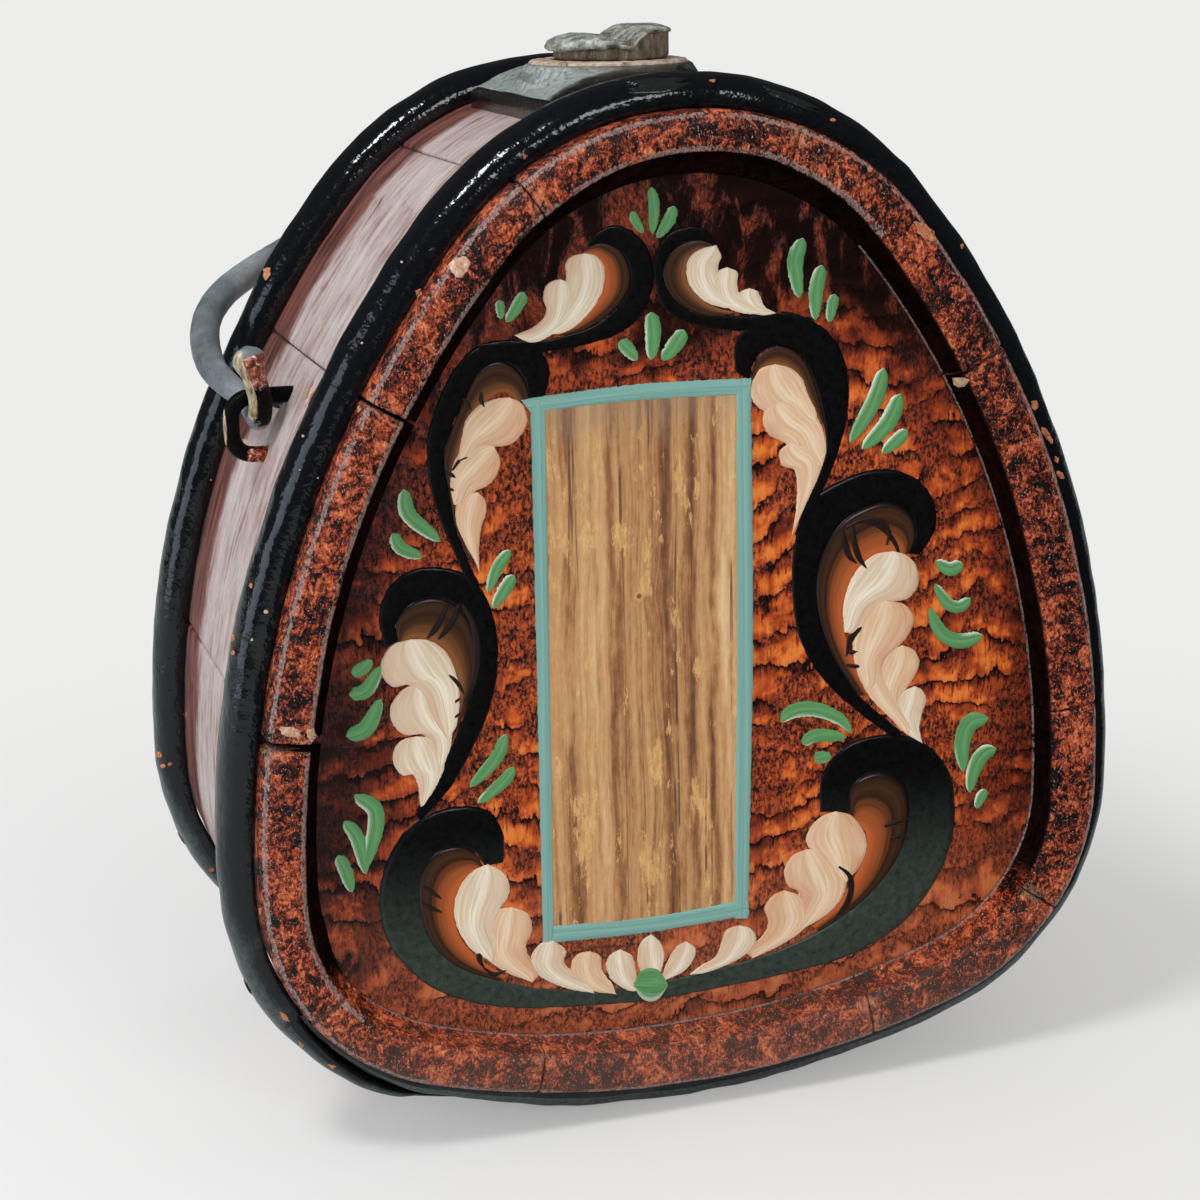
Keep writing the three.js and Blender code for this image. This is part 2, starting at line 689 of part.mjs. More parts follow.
function handlePath() {
  const radius = STAPLE_BAR_RADIUS + HOOK_GAP + HOOK_ROD_RADIUS;
  const half = [];
  for (const share of [1, 0.55]) {
    half.push(new THREE.Vector3(
      -HOOK_X - HOOK_TIP_OUT * share,
      -radius - HOOK_TIP_FORWARD * share,
      PIVOT_Z + HOOK_TIP_RISE * share,
    ));
  }
  for (let i = 0; i <= 5; i += 1) {
    const turn = (i / 5) * (Math.PI / 2 + HANDLE_LEAN) - Math.PI / 2;
    half.push(new THREE.Vector3(-HOOK_X, radius * Math.sin(turn), PIVOT_Z - radius * Math.cos(turn)));
  }
  const flare = HANDLE_ARM_X - HOOK_X;
  half.push(handlePoint(-HOOK_X - 0.09 * flare, 0.088 * HANDLE_PASS));
  half.push(handlePoint(-HOOK_X - 0.39 * flare, 0.175 * HANDLE_PASS));
  for (const [width, along] of ARM_SHARES) {
    half.push(handlePoint(-HANDLE_ARM_X * width, HANDLE_PASS * along));
  }
  const archStart = HANDLE_PASS * ARM_SHARES[ARM_SHARES.length - 1][1];
  for (const [width, along] of ARCH_SHARES) {
    half.push(handlePoint(-HANDLE_ARM_X * width, THREE.MathUtils.lerp(archStart, HANDLE_REACH, along)));
  }
  const other = half.map((point) => new THREE.Vector3(-point.x, point.y, point.z)).reverse();
  const points = [...half, handlePoint(0, HANDLE_REACH), ...other];
  return new THREE.CatmullRomCurve3(points, false, 'centripetal');
}

function handle() {
  const curve = handlePath();
  const length = curve.getLength();
  const radii = (share) => {
    const fromEnd = Math.min(share, 1 - share) * length;
    const swell = THREE.MathUtils.smoothstep(fromEnd, HANDLE_SWELL_START, HANDLE_SWELL_END);
    const body = THREE.MathUtils.lerp(HOOK_ROD_RADIUS, HANDLE_RADIUS, swell);
    const tip = THREE.MathUtils.smoothstep(fromEnd, -0.6 * HOOK_TIP_ROUND, HOOK_TIP_ROUND);
    const flared = THREE.MathUtils.smoothstep(HOOK_TIP_RISE - fromEnd, 0, HOOK_FLARE_LENGTH);
    const flare = flared * (HOOK_TIP_HALF_WIDTH - HOOK_ROD_RADIUS);
    return [body * tip, (body + flare) * tip];
  };
  return rod(curve, HANDLE_SIDES, HANDLE_STEPS, radii);
}

// Assembly.

const keg = new THREE.Group();

function addMesh(parent, name, geometry, look) {
  const mesh = new THREE.Mesh(geometry, look);
  mesh.name = name;
  parent.add(mesh);
  return mesh;
}

const staves = new THREE.Group();
const bungCutters = [
  upright(BUNG_RADIUS, STAVE_TOP_Z - 3 * STAVE_THICKNESS, STAVE_TOP_Z + CUT_MARGIN, 24),
];
for (const [x, y] of pegSpots) {
  bungCutters.push(upright(
    PEG_RADIUS + CLEARANCE, pegBottom() - CLEARANCE, STAVE_TOP_Z + CUT_MARGIN, 10, x, y,
  ));
}
STAVE_NAMES.forEach((name, index) => {
  const from = STAVE_JOINTS[index];
  const next = STAVE_JOINTS[(index + 1) % STAVE_JOINTS.length];
  const to = next > from ? next : next + 2 * Math.PI;
  const cutters = [];
  if (name === 'stave_top') cutters.push(...bungCutters);
  if (name === 'stave_side_left') cutters.push(...stapleHoles(-1));
  if (name === 'stave_side_right') cutters.push(...stapleHoles(1));
  for (const nailAngle of NAIL_ANGLES) {
    const wrapped = nailAngle < from ? nailAngle + 2 * Math.PI : nailAngle;
    if (wrapped > from && wrapped < to) {
      for (const side of [-1, 1]) cutters.push(nailHole(nailAngle, side * HOOP_CENTRE_Y));
    }
  }
  addMesh(staves, name, cut(stave(from, to), cutters), MATERIALS.rim);
});
keg.add(staves);

const hoops = new THREE.Group();
for (const [name, side] of [['front', -1], ['rear', 1]]) {
  const y = side * HOOP_CENTRE_Y;
  const holes = NAIL_ANGLES.map((angle) => nailHole(angle, y));
  addMesh(hoops, `hoop_${name}`, cut(flattened(hoop(y)), holes), MATERIALS.hoop);
  NAIL_ANGLES.forEach((angle, index) => {
    addMesh(hoops, `hoop_${name}_nail_${index + 1}`, nail(angle, y), MATERIALS.staple);
  });
}
keg.add(hoops);

// The rear head is the front head turned half round the upright axis.
for (const [end, turn] of [['front', 0], ['rear', Math.PI]]) {
  const head = new THREE.Group();
  for (const board of headBoards()) {
    addMesh(head, `head_${end}_${board.name}`, board.geometry, MATERIALS.head);
  }
  for (const spot of dowelSpots) {
    addMesh(head, `dowel_${end}_${spot.name}`, dowel(spot, 0, 0), MATERIALS.peg);
  }
  head.rotation.z = turn;
  keg.add(head);
}

const mouth = new THREE.Group();
addMesh(mouth, 'bung_boss', boss(), MATERIALS.boss);
addMesh(mouth, 'bung_collar', collar(), MATERIALS.collar);
pegSpots.forEach(([x, y], index) => {
  addMesh(mouth, `boss_peg_${index + 1}`, upright(PEG_RADIUS, pegBottom(), pegTop(), 8, x, y), MATERIALS.peg);
});
addMesh(mouth, 'stopper', stopper(), MATERIALS.stopper);
keg.add(mouth);

for (const [name, side] of [['left', -1], ['right', 1]]) {
  const bar = rod(staplePath(side), 10, 26, () => [STAPLE_BAR_RADIUS, STAPLE_BAR_RADIUS]);
  addMesh(keg, `staple_${name}`, bar, MATERIALS.staple);
}
addMesh(keg, 'handle', handle(), MATERIALS.handle);

// The solids above are laid out from the middle of the keg's length.
keg.position.y = HOOP_CENTRE_Y;

export default keg;
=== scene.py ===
# A coopered, painted wooden carrying keg standing on a plain pale floor.
# Lengths are written in millimetres and turned into metres where meshes are made.
# X is to the right of the front head, Y runs from the front head to the rear, Z is up.
import json
import math
import random

import bpy
import numpy as np
from mathutils import Matrix, Vector, noise
from mathutils.bvhtree import BVHTree

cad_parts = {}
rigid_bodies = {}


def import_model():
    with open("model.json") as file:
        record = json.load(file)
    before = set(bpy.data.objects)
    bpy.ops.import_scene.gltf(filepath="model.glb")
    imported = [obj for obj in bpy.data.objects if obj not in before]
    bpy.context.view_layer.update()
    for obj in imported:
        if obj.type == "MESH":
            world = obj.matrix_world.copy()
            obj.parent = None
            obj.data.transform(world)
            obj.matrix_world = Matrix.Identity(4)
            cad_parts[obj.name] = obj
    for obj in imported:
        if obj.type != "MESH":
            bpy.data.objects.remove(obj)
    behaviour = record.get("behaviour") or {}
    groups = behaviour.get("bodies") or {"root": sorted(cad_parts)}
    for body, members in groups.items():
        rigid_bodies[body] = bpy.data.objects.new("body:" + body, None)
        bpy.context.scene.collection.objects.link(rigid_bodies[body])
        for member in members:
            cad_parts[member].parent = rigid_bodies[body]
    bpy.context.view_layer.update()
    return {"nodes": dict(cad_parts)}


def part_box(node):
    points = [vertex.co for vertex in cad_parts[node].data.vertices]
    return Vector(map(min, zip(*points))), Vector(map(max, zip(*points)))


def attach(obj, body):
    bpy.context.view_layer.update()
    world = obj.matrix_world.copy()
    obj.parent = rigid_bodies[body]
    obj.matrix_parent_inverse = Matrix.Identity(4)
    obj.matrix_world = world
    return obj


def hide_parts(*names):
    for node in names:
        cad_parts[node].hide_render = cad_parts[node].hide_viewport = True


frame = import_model()
random.seed(11)

MM = 0.001
TAU = 2 * math.pi

# Camera, as the photograph was taken: turned, tipped and rolled, in radians, and where it stands.
YAW = 0.3204
PITCH = 0.2742
ROLL = 0.0165
PICTURE = 1200
FOCAL_PIXELS = 2356.65
SENSOR = 36
EYE = np.array([-208.26, -558.16, 308.18])

# The keg's outline: each arc's end angle and radius, the same arcs as the solids.
BASE_ARC = (math.radians(18.3), 243.4)
CORNER_ARC = (math.radians(88.9), 60.3)
SIDE_ARC = (math.radians(130.2), 246.9)
TOP_RADIUS = (
    BASE_ARC[1] * math.sin(BASE_ARC[0])
    + CORNER_ARC[1] * (math.sin(CORNER_ARC[0]) - math.sin(BASE_ARC[0]))
    + SIDE_ARC[1] * (math.sin(SIDE_ARC[0]) - math.sin(CORNER_ARC[0]))
) / math.sin(SIDE_ARC[0])
ARCS = [BASE_ARC, CORNER_ARC, SIDE_ARC, (math.pi, TOP_RADIUS)]
BOTTOM_Z = 7.5
STAVE_TOP = 267.6
STAVE_HALF = 70.5
STAVE_MIDDLE = 55.0
HOOP_Y = {"front": 0.0, "rear": 110.0}
HEAD_Y = -5.7
JOINTS = [
    0.21, 0.955, 1.66, 2.095, math.pi - math.asin(26.9 / TOP_RADIUS),
    math.pi + math.asin(46.3 / TOP_RADIUS), 4.198, 4.558, 5.323, 6.088,
]
STAVES = [
    "stave_corner_right", "stave_lower_right", "stave_side_right", "stave_upper_right", "stave_top",
    "stave_upper_left", "stave_side_left", "stave_lower_left", "stave_corner_left", "stave_base",
]


def half_turn(angle):
    """The same angle, between minus and plus half a turn."""
    return math.atan2(math.sin(angle), math.cos(angle))


def turns(count):
    return [TAU * k / count for k in range(count)]


def smooth(value, low, high):
    """0 below low and 1 above high, with a soft passage between them."""
    t = min(1.0, max(0.0, (value - low) / (high - low)))
    return t * t * (3 - 2 * t)


def wobble(x, y, z, size, seed=0.0):
    """Smooth noise whose waves are about size long."""
    return noise.noise(Vector((x / size + seed, y / size - seed, z / size + 2 * seed)))


def outline(angle, height):
    """A point of the outline, in x and z, raised above the staves by height."""
    turn = half_turn(angle)
    side = -1 if turn < 0 else 1
    size = abs(turn)
    x, z, start = 0.0, BOTTOM_Z, 0.0
    for until, radius in ARCS:
        to = min(size, until)
        x += radius * (math.sin(to) - math.sin(start))
        z += radius * (math.cos(start) - math.cos(to))
        start = to
        if size <= until:
            break
    return side * (x + height * math.sin(size)), z - height * math.cos(size)


def radius_at(angle):
    size = abs(half_turn(angle))
    for until, radius in ARCS:
        if size <= until:
            return radius
    return TOP_RADIUS


# How far apart the places round a stave, a hoop and the head lie, in millimetres.
STAVE_STEP = 2.1
HOOP_STEP = 1.7
HEAD_STEP = 3.1
# Lengths round the keg are measured this far above the staves, about the middle of a hoop.
MEASURED_AT = 12


def even_angles(start, end, step):
    """Angles from start to end that lie about one step apart along the outline."""
    fine = np.linspace(start, end, 2400)
    lengths = np.array([radius_at(a) + MEASURED_AT for a in fine[:-1]]) * np.diff(fine)
    along = np.concatenate([[0], np.cumsum(lengths)])
    count = max(3, int(round(along[-1] / step)))
    return np.interp(np.linspace(0, along[-1], count + 1), along, fine)


# Camera rays, and the place where a pixel of the photograph falls on an upright plane.
FORWARD = np.array([math.sin(YAW) * math.cos(PITCH), math.cos(YAW) * math.cos(PITCH), -math.sin(PITCH)])
LEVEL = np.array([math.cos(YAW), -math.sin(YAW), 0.0])
DROP = np.array([-math.sin(PITCH) * math.sin(YAW), -math.sin(PITCH) * math.cos(YAW), -math.cos(PITCH)])
RIGHT = math.cos(ROLL) * LEVEL + math.sin(ROLL) * DROP
DOWN = -math.sin(ROLL) * LEVEL + math.cos(ROLL) * DROP


def sight(u, v):
    return FORWARD * FOCAL_PIXELS + RIGHT * (u - PICTURE / 2) + DOWN * (v - PICTURE / 2)


def at_depth(u, v, y):
    """Where the line of sight through a pixel meets the upright plane at y, in x and z."""
    ray = sight(u, v)
    spot = EYE + ray * ((y - EYE[1]) / ray[1])
    return spot[0], spot[2]


def on_head(u, v):
    return at_depth(u, v, HEAD_Y)


# Meshes.
def new_object(name, points, faces, material, uv=None, zone=None):
    mesh = bpy.data.meshes.new(name)
    mesh.from_pydata([Vector(p) * MM for p in points], [], faces)
    mesh.validate()
    mesh.materials.append(material)
    if uv is not None:
        layer = mesh.uv_layers.new(name="UVMap")
        for loop in mesh.loops:
            layer.data[loop.index].uv = uv[loop.vertex_index]
    if zone is not None:
        paint = mesh.color_attributes.new(name="zone", type="FLOAT_COLOR", domain="POINT")
        for index, value in enumerate(zone):
            paint.data[index].color = (*value, 1.0)
    for face in mesh.polygons:
        face.use_smooth = True
    mesh.update()
    piece = bpy.data.objects.new(name, mesh)
    bpy.context.scene.collection.objects.link(piece)
    return piece


def surface_of(piece):
    return BVHTree.FromObject(piece, bpy.context.evaluated_depsgraph_get())


def ring_faces(count, sides, base=0, closed_run=False):
    """Faces between rings of points that follow each other, the first point being number base."""
    faces = []
    for r in range(count if closed_run else count - 1):
        below, above = base + r * sides, base + (r + 1) % count * sides
        for c in range(sides):
            d = (c + 1) % sides
            faces.append((below + c, below + d, above + d, above + c))
    return faces


def loft(rings, closed_run=False):
    """Points and faces of a surface through rings of equal length, capped unless it closes on itself."""
    sides = len(rings[0])
    points = [p for ring in rings for p in ring]
    faces = ring_faces(len(rings), sides, 0, closed_run)
    if not closed_run:
        faces.append(tuple(reversed(range(sides))))
        faces.append(tuple(len(points) - sides + c for c in range(sides)))
    return points, faces


def resample(dense, count):
    """Evenly spaced points along a line of dense points, and the line's length."""
    dense = np.array(dense)
    along = np.concatenate([[0], np.cumsum(np.linalg.norm(np.diff(dense, axis=0), axis=1))])
    spots = np.linspace(0, along[-1], count)
    return np.stack([np.interp(spots, along, column) for column in dense.T], axis=1), along[-1]


def catmull(points, count):
    """A smooth open curve through the points, at evenly spaced places."""
    p = np.array(points, float)
    if len(p) == 2:
        return np.array([p[0] + (p[1] - p[0]) * t for t in np.linspace(0, 1, count)])
    p = np.vstack([2 * p[0] - p[1], p, 2 * p[-1] - p[-2]])
    dense = []
    for i in range(1, len(p) - 2):
        for t in np.linspace(0, 1, 24, endpoint=False):
            dense.append(0.5 * (
                2 * p[i] + (p[i + 1] - p[i - 1]) * t
                + (2 * p[i - 1] - 5 * p[i] + 4 * p[i + 1] - p[i + 2]) * t * t
                + (3 * p[i] - p[i - 1] - 3 * p[i + 1] + p[i + 2]) * t ** 3))
    return resample(dense + [p[-2]], count)[0]


def centripetal(points, count):
    """A smooth curve that keeps close to unevenly spaced points, and its length."""
    p = [np.array(q, float) for q in points]
    p = [2 * p[0] - p[1]] + p + [2 * p[-1] - p[-2]]
    dense = []
    for a, b, c, d in zip(p, p[1:], p[2:], p[3:]):
        t0 = 0.0
        t1 = t0 + np.linalg.norm(b - a) ** 0.5
        t2 = t1 + np.linalg.norm(c - b) ** 0.5
        t3 = t2 + np.linalg.norm(d - c) ** 0.5
        for t in np.linspace(t1, t2, 20, endpoint=False):
            a1 = (t1 - t) / (t1 - t0) * a + (t - t0) / (t1 - t0) * b
            a2 = (t2 - t) / (t2 - t1) * b + (t - t1) / (t2 - t1) * c
            a3 = (t3 - t) / (t3 - t2) * c + (t - t2) / (t3 - t2) * d
            b1 = (t2 - t) / (t2 - t0) * a1 + (t - t0) / (t2 - t0) * a2
            b2 = (t3 - t) / (t3 - t1) * a2 + (t - t1) / (t3 - t1) * a3
            dense.append((t2 - t) / (t2 - t1) * b1 + (t - t1) / (t2 - t1) * b2)
    return resample(dense + [p[-2]], count)


# Materials. Look wraps a node tree, and a Signal is a value in it, so each material reads as a recipe.
def colour(r, g, b):
    """A colour given as it looks on a screen, from 0 to 255, as the shader takes it."""
    def flat(value):
        value /= 255
        return value / 12.92 if value <= 0.04045 else ((value + 0.055) / 1.055) ** 2.4
    return flat(r), flat(g), flat(b), 1.0


def signal_first(operation):
    return lambda signal, other: signal.look.math(operation, signal, other)


def signal_last(operation):
    return lambda signal, other: signal.look.math(operation, other, signal)


class Signal:
    """A value in a node tree, which adds up, multiplies and so on like a number."""
    __add__, __radd__ = signal_first("ADD"), signal_last("ADD")
    __sub__, __rsub__ = signal_first("SUBTRACT"), signal_last("SUBTRACT")
    __mul__, __rmul__ = signal_first("MULTIPLY"), signal_last("MULTIPLY")
    __truediv__ = signal_first("DIVIDE")
    __pow__, __rpow__ = signal_first("POWER"), signal_last("POWER")

    def __init__(self, look, socket):
        self.look = look
        self.socket = socket


class Look:
    def __init__(self, name):
        self.material = bpy.data.materials.new(name)
        self.material.use_nodes = True
        self.tree = self.material.node_tree
        self.shader = self.tree.nodes["Principled BSDF"]
        self.place = self.value("ShaderNodeTexCoord", "Object")

    def put(self, socket, value):
        if isinstance(value, Signal):
            self.tree.links.new(value.socket, socket)
        else:
            socket.default_value = value

    def node(self, kind, inputs=None, **settings):
        made = self.tree.nodes.new(kind)
        for key, value in settings.items():
            setattr(made, key, value)
        for key, value in (inputs or {}).items():
            self.put(made.inputs[key], value)
        return made

    def value(self, kind, output, inputs=None, **settings):
        return Signal(self, self.node(kind, inputs, **settings).outputs[output])

    def scaled(self, scale=(1, 1, 1), source=None):
        """Coordinates stretched by scale, in millimetres unless another source is given."""
        if source is None:
            source = self.place
            scale = tuple(1000 * s for s in scale)
        return self.value("ShaderNodeMapping", "Vector", {"Vector": source, "Scale": scale})

    def uv(self):
        return self.value("ShaderNodeTexCoord", "UV")

    def ray(self, kind):
        return self.value("ShaderNodeLightPath", f"Is {kind} Ray")

    def join(self, amount, first, second):
        """Two shaders mixed."""
        return self.value("ShaderNodeMixShader", 0, {0: amount, 1: first, 2: second})

    def noise(self, vector, scale, detail=4.0, rough=0.55, distortion=0.0):
        return self.value("ShaderNodeTexNoise", "Fac", {
            "Vector": vector, "Scale": scale, "Detail": detail, "Roughness": rough, "Distortion": distortion,
        })

    def math(self, operation, first, second=0.0, third=0.0, clamp=False):
        inputs = {0: first, 1: second, 2: third}
        return self.value("ShaderNodeMath", 0, inputs, operation=operation, use_clamp=clamp)

    def times_plus(self, value, factor, extra):
        return self.math("MULTIPLY_ADD", value, factor, extra)

    def shaken(self, value, noise, reach):
        """A value moved both ways by a noise, by half of reach at most."""
        return self.times_plus(noise - 0.5, reach, value)

    def ramp(self, value, stops):
        """Colours along a value. A stop is a place, then a grey, a colour, or red, green and blue."""
        made = self.node("ShaderNodeValToRGB", {"Fac": value})
        elements = made.color_ramp.elements
        while len(elements) < len(stops):
            elements.new(0.5)
        for element, (position, *shade) in zip(elements, stops):
            element.position = position
            if len(shade) == 3:
                element.color = colour(*shade)
            else:
                element.color = shade[0] if isinstance(shade[0], tuple) else (*shade * 3, 1)
        return Signal(self, made.outputs["Color"])

    def mix(self, amount, first, second):
        inputs = {0: amount, 6: first, 7: second}
        return self.value("ShaderNodeMix", 2, inputs, data_type="RGBA")

    def split(self, vector, kind="ShaderNodeSeparateXYZ"):
        return [Signal(self, output) for output in self.node(kind, {0: vector}).outputs]

    def facing(self):
        """The surface's own direction, in x, y and z."""
        return self.split(self.value("ShaderNodeNewGeometry", "True Normal"))

    def zone(self):
        """The three painted zones of a mesh, one number each."""
        painted = self.value("ShaderNodeVertexColor", "Color", layer_name="zone")
        return self.split(painted, "ShaderNodeSeparateColor")

    def step(self, value, low, high):
        """0 at low and 1 at high, with a soft passage between them."""
        inputs = {"Value": value, "From Min": low, "From Max": high}
        return self.value("ShaderNodeMapRange", 0, inputs, interpolation_type="SMOOTHSTEP")

    def band(self, value, low, high, soft):
        """1 between low and high, falling to 0 over soft on each side."""
        up = self.step(value, low - soft, low)
        return self.math("SUBTRACT", up, self.step(value, high, high + soft), clamp=True)

    def finish(self, base, rough, height=None, depth=0.3, coat=0.0, coat_rough=0.1, level=0.5,
               coat_depth=None):
        """Links colour and roughness, and height as bumps of the given depths in millimetres."""
        for name, value in (
            ("Base Color", base), ("Roughness", rough), ("Coat Weight", coat),
            ("Coat Roughness", coat_rough), ("Specular IOR Level", level),
        ):
            self.put(self.shader.inputs[name], value)
        if height is not None:
            for name, deep in (("Normal", depth), ("Coat Normal", coat_depth or depth)):
                inputs = {"Strength": 1.0, "Distance": deep * MM, "Height": height}
                self.put(self.shader.inputs[name], self.value("ShaderNodeBump", "Normal", inputs))
        return self.material


def make_rim():
    """Staves: marbled red-brown on the rims with painted glints, painted edge highlights and painted shade
    on the inner wall, a thin pale wash between the hoops.
    """
    look = Look("rim_paint")
    mm = look.scaled()
    inner, edge, joint = look.zone()
    warp = look.noise(mm, 0.10, 3)
    blotch = look.noise(mm, 0.38, 6, 0.70, 0.9)
    fine = look.noise(look.scaled((1.4, 1, 0.8)), 1.2, 4, 0.7, 0.5)
    value = blotch * 0.66 + fine * 0.42
    value += (warp - 0.5) * 0.30
    base = look.ramp(value, [
        (0.465, 15, 6, 5), (0.515, 58, 18, 10),
        (0.56, 136, 50, 24), (0.61, 196, 90, 50), (0.70, 232, 142, 96),
    ])
    # Pale pink specks over the rim: painted glints.
    painted_glint = look.step(look.noise(look.scaled((1.3, 1, 0.9)), 1.9, 2, 0.5), 0.655, 0.70)
    base = look.mix(painted_glint * 0.75, base, colour(224, 186, 168))
    low = look.step(look.shaken(look.split(mm)[2], blotch, 40.0), 52.0, 14.0)
    base = look.mix(low * 0.20, base, colour(166, 122, 106))
    # The inner wall is near black, its dark paint deepened with painted shade in the recess, but for the
    # foot of the rim, where the paint shows.
    low_down = look.step(look.split(mm)[2], 38.0, 74.0)
    wall = look.times_plus(low_down, 0.85, 0.15) * inner
    dark_paint_and_shade = look.ramp(value, [(0.48, 5, 3, 3), (0.68, 34, 12, 8)])
    base = look.mix(look.step(look.shaken(wall, fine, 0.5), 0.30, 0.62), base, dark_paint_and_shade)
    # Broken pale lines along the rim's edges: dust and painted highlight.
    stretch = look.noise(mm, 0.09, 4, 0.6)
    dust_and_edge_highlight = look.step(look.shaken(edge, fine, 1.6), 0.52, 0.66)
    dust_and_edge_highlight *= look.step(look.times_plus(fine, 0.4, stretch), 0.56, 0.68)
    base = look.mix(dust_and_edge_highlight * 0.85, base, look.ramp(fine, [(0.4, 112, 86, 80), (0.62, 176, 150, 142)]))
    worn = joint * look.step(fine + stretch, 1.0, 1.12)
    worn *= 1.0 - inner
    base = look.mix(worn * 0.7, base, colour(186, 140, 110))
    # The wash: streaks follow the strip round the keg, redder along the rear hoop.
    uv = look.uv()
    grain = look.noise(look.scaled((30, 3.0, 1), uv), 1.0, 5, 0.62, 0.3)
    hair = look.noise(look.scaled((150, 7, 1), uv), 1.0, 3, 0.6)
    patch = look.noise(mm, 0.045, 4, 0.6)
    blot = look.noise(look.scaled((16, 9, 1), uv), 1.0, 5, 0.7, 0.5)
    tone = look.times_plus(grain, 0.42, 0.07) + hair * 0.18
    tone += blot * 0.28
    tone += (patch - 0.5) * 0.24
    wash = look.ramp(tone, [
        (0.36, 122, 84, 76), (0.43, 170, 138, 130),
        (0.50, 198, 178, 173), (0.60, 216, 204, 201),
    ])
    y = look.split(mm)[1]
    shake = (look.noise(look.scaled((8, 6, 1), uv), 1.0, 4) - 0.5) * 16.0
    rear = look.step(y + shake, 78.0, 86.0)
    front = look.step(y + shake * 0.5, 16.0, 9.0)
    red = look.ramp(grain, [(0.38, 70, 22, 14), (0.6, 136, 66, 48)])
    wash = look.mix(rear * 0.92, wash, red)
    wash = look.mix(front * 0.6, wash, red)
    strip = look.band(y, 9.5, 101.5, 0.8)
    full = look.mix(strip, base, wash)
    rough = strip * 0.14 + look.times_plus(fine, 0.5, 0.2)
    height = value * 1.1 + grain * strip
    level = look.times_plus(inner, -0.2, 0.22)
    coat = look.times_plus(inner, -0.34, 0.36)
    return look.finish(full, rough, height, 0.9, coat=coat, coat_rough=0.06, level=level, coat_depth=0.30)


# The height of one combed row, in millimetres.
COMB_ROW = 8.6


def make_ground():
    """The head: orange combed through near black in wavy rows, sponged darker and painted with shade towards
    the rim.
    """
    look = Look("combed_ground")
    mm = look.scaled()
    x, _, z = look.split(mm)
    slow = look.noise(mm, 0.022, 2, 0.5)
    middle = look.noise(mm, 0.075, 3, 0.5)
    quick = look.noise(mm, 0.30, 4, 0.6)
    comb = look.noise(look.scaled((1, 1, 0.11)), 0.72, 5, 0.66)
    teeth = look.noise(look.scaled((1, 1, 0.16)), 1.5, 4, 0.66)
    rise = look.shaken(z, slow, 34.0)
    rise = look.shaken(rise, middle, 12.0)
    rise = look.shaken(rise, quick, 4.0)
    rise = look.shaken(rise, comb, 4.2)
    rise = look.times_plus(x, -0.14, rise)
    row = look.math("FRACT", rise / COMB_ROW)
    # Each row is brightest just over its dark line; dark teeth hang from the next line above.
    line = look.ramp(row, [
        (0.0, 0.03), (0.035, 0.06), (0.065, 0.70), (0.30, 0.96),
        (0.58, 0.74), (0.82, 0.50), (0.95, 0.30), (0.985, 0.03),
    ])
    reach = look.times_plus(row, 0.26, 0.22)
    fringe = look.step(teeth - reach, -0.03, 0.08)
    patchy = look.noise(mm, 0.11, 4, 0.62, 0.4)
    combed = line * look.times_plus(comb, 1.2, 0.20)
    combed *= look.times_plus(fringe, 0.56, 0.44)
    combed *= look.times_plus(look.step(patchy, 0.36, 0.62), 0.62, 0.55)
    sponge = look.noise(look.scaled((1.25, 1, 0.7)), 0.85, 6, 0.74, 0.6)
    zone = look.step(look.noise(mm, 0.06, 4, 0.66), 0.44, 0.56)
    sponged = look.ramp(sponge, [(0.42, 0.04), (0.49, 0.24), (0.56, 0.46), (0.68, 0.70)])
    value = look.mix(zone * 0.85, combed, sponged)
    # Redder and darker towards the rim, from sponged paint and from painted shade in the rim's recess, with
    # less of it low down, and in upright flames at the top.
    far = look.math("SQRT", (x / 106.0) ** 2.0 + ((z - 112.0) / 122.0) ** 2.0)
    edge = look.step(look.shaken(far, sponge, 0.7), 0.78, 1.0)
    flame = look.noise(look.scaled((1, 1, 0.42)), 0.115, 5, 0.68, 0.5)
    top = look.step(look.shaken(z, middle, 60.0), 196.0, 226.0)
    flames = look.step(flame, 0.46, 0.62) * look.times_plus(sponged, 0.8, 0.25)
    value = look.mix(top * 0.85, value, flames)
    low = look.step(look.shaken(z, sponge, 70.0), 84.0, 34.0)
    dim = edge * look.times_plus(low, -0.38, 0.42)
    value *= 1.0 - dim
    # Darker still towards the left: dark sponging and painted shade.
    left = look.step(look.shaken(x, sponge, 60.0), -56.0, -90.0)
    value *= 1.0 - left * 0.45 * (1.0 - low)
    base = look.ramp(value, [
        (0.0, 13, 5, 3), (0.12, 46, 15, 7), (0.26, 112, 40, 16),
        (0.40, 166, 64, 21), (0.56, 206, 92, 28), (0.80, 234, 128, 48),
    ])
    pink = low * look.times_plus(value, 0.8, 0.05)
    base = look.mix(pink, base, colour(172, 108, 80))
    rough = look.times_plus(value, 0.12, 0.24)
    return look.finish(base, rough, value, 0.30, coat=0.3, coat_rough=0.12, level=0.35)


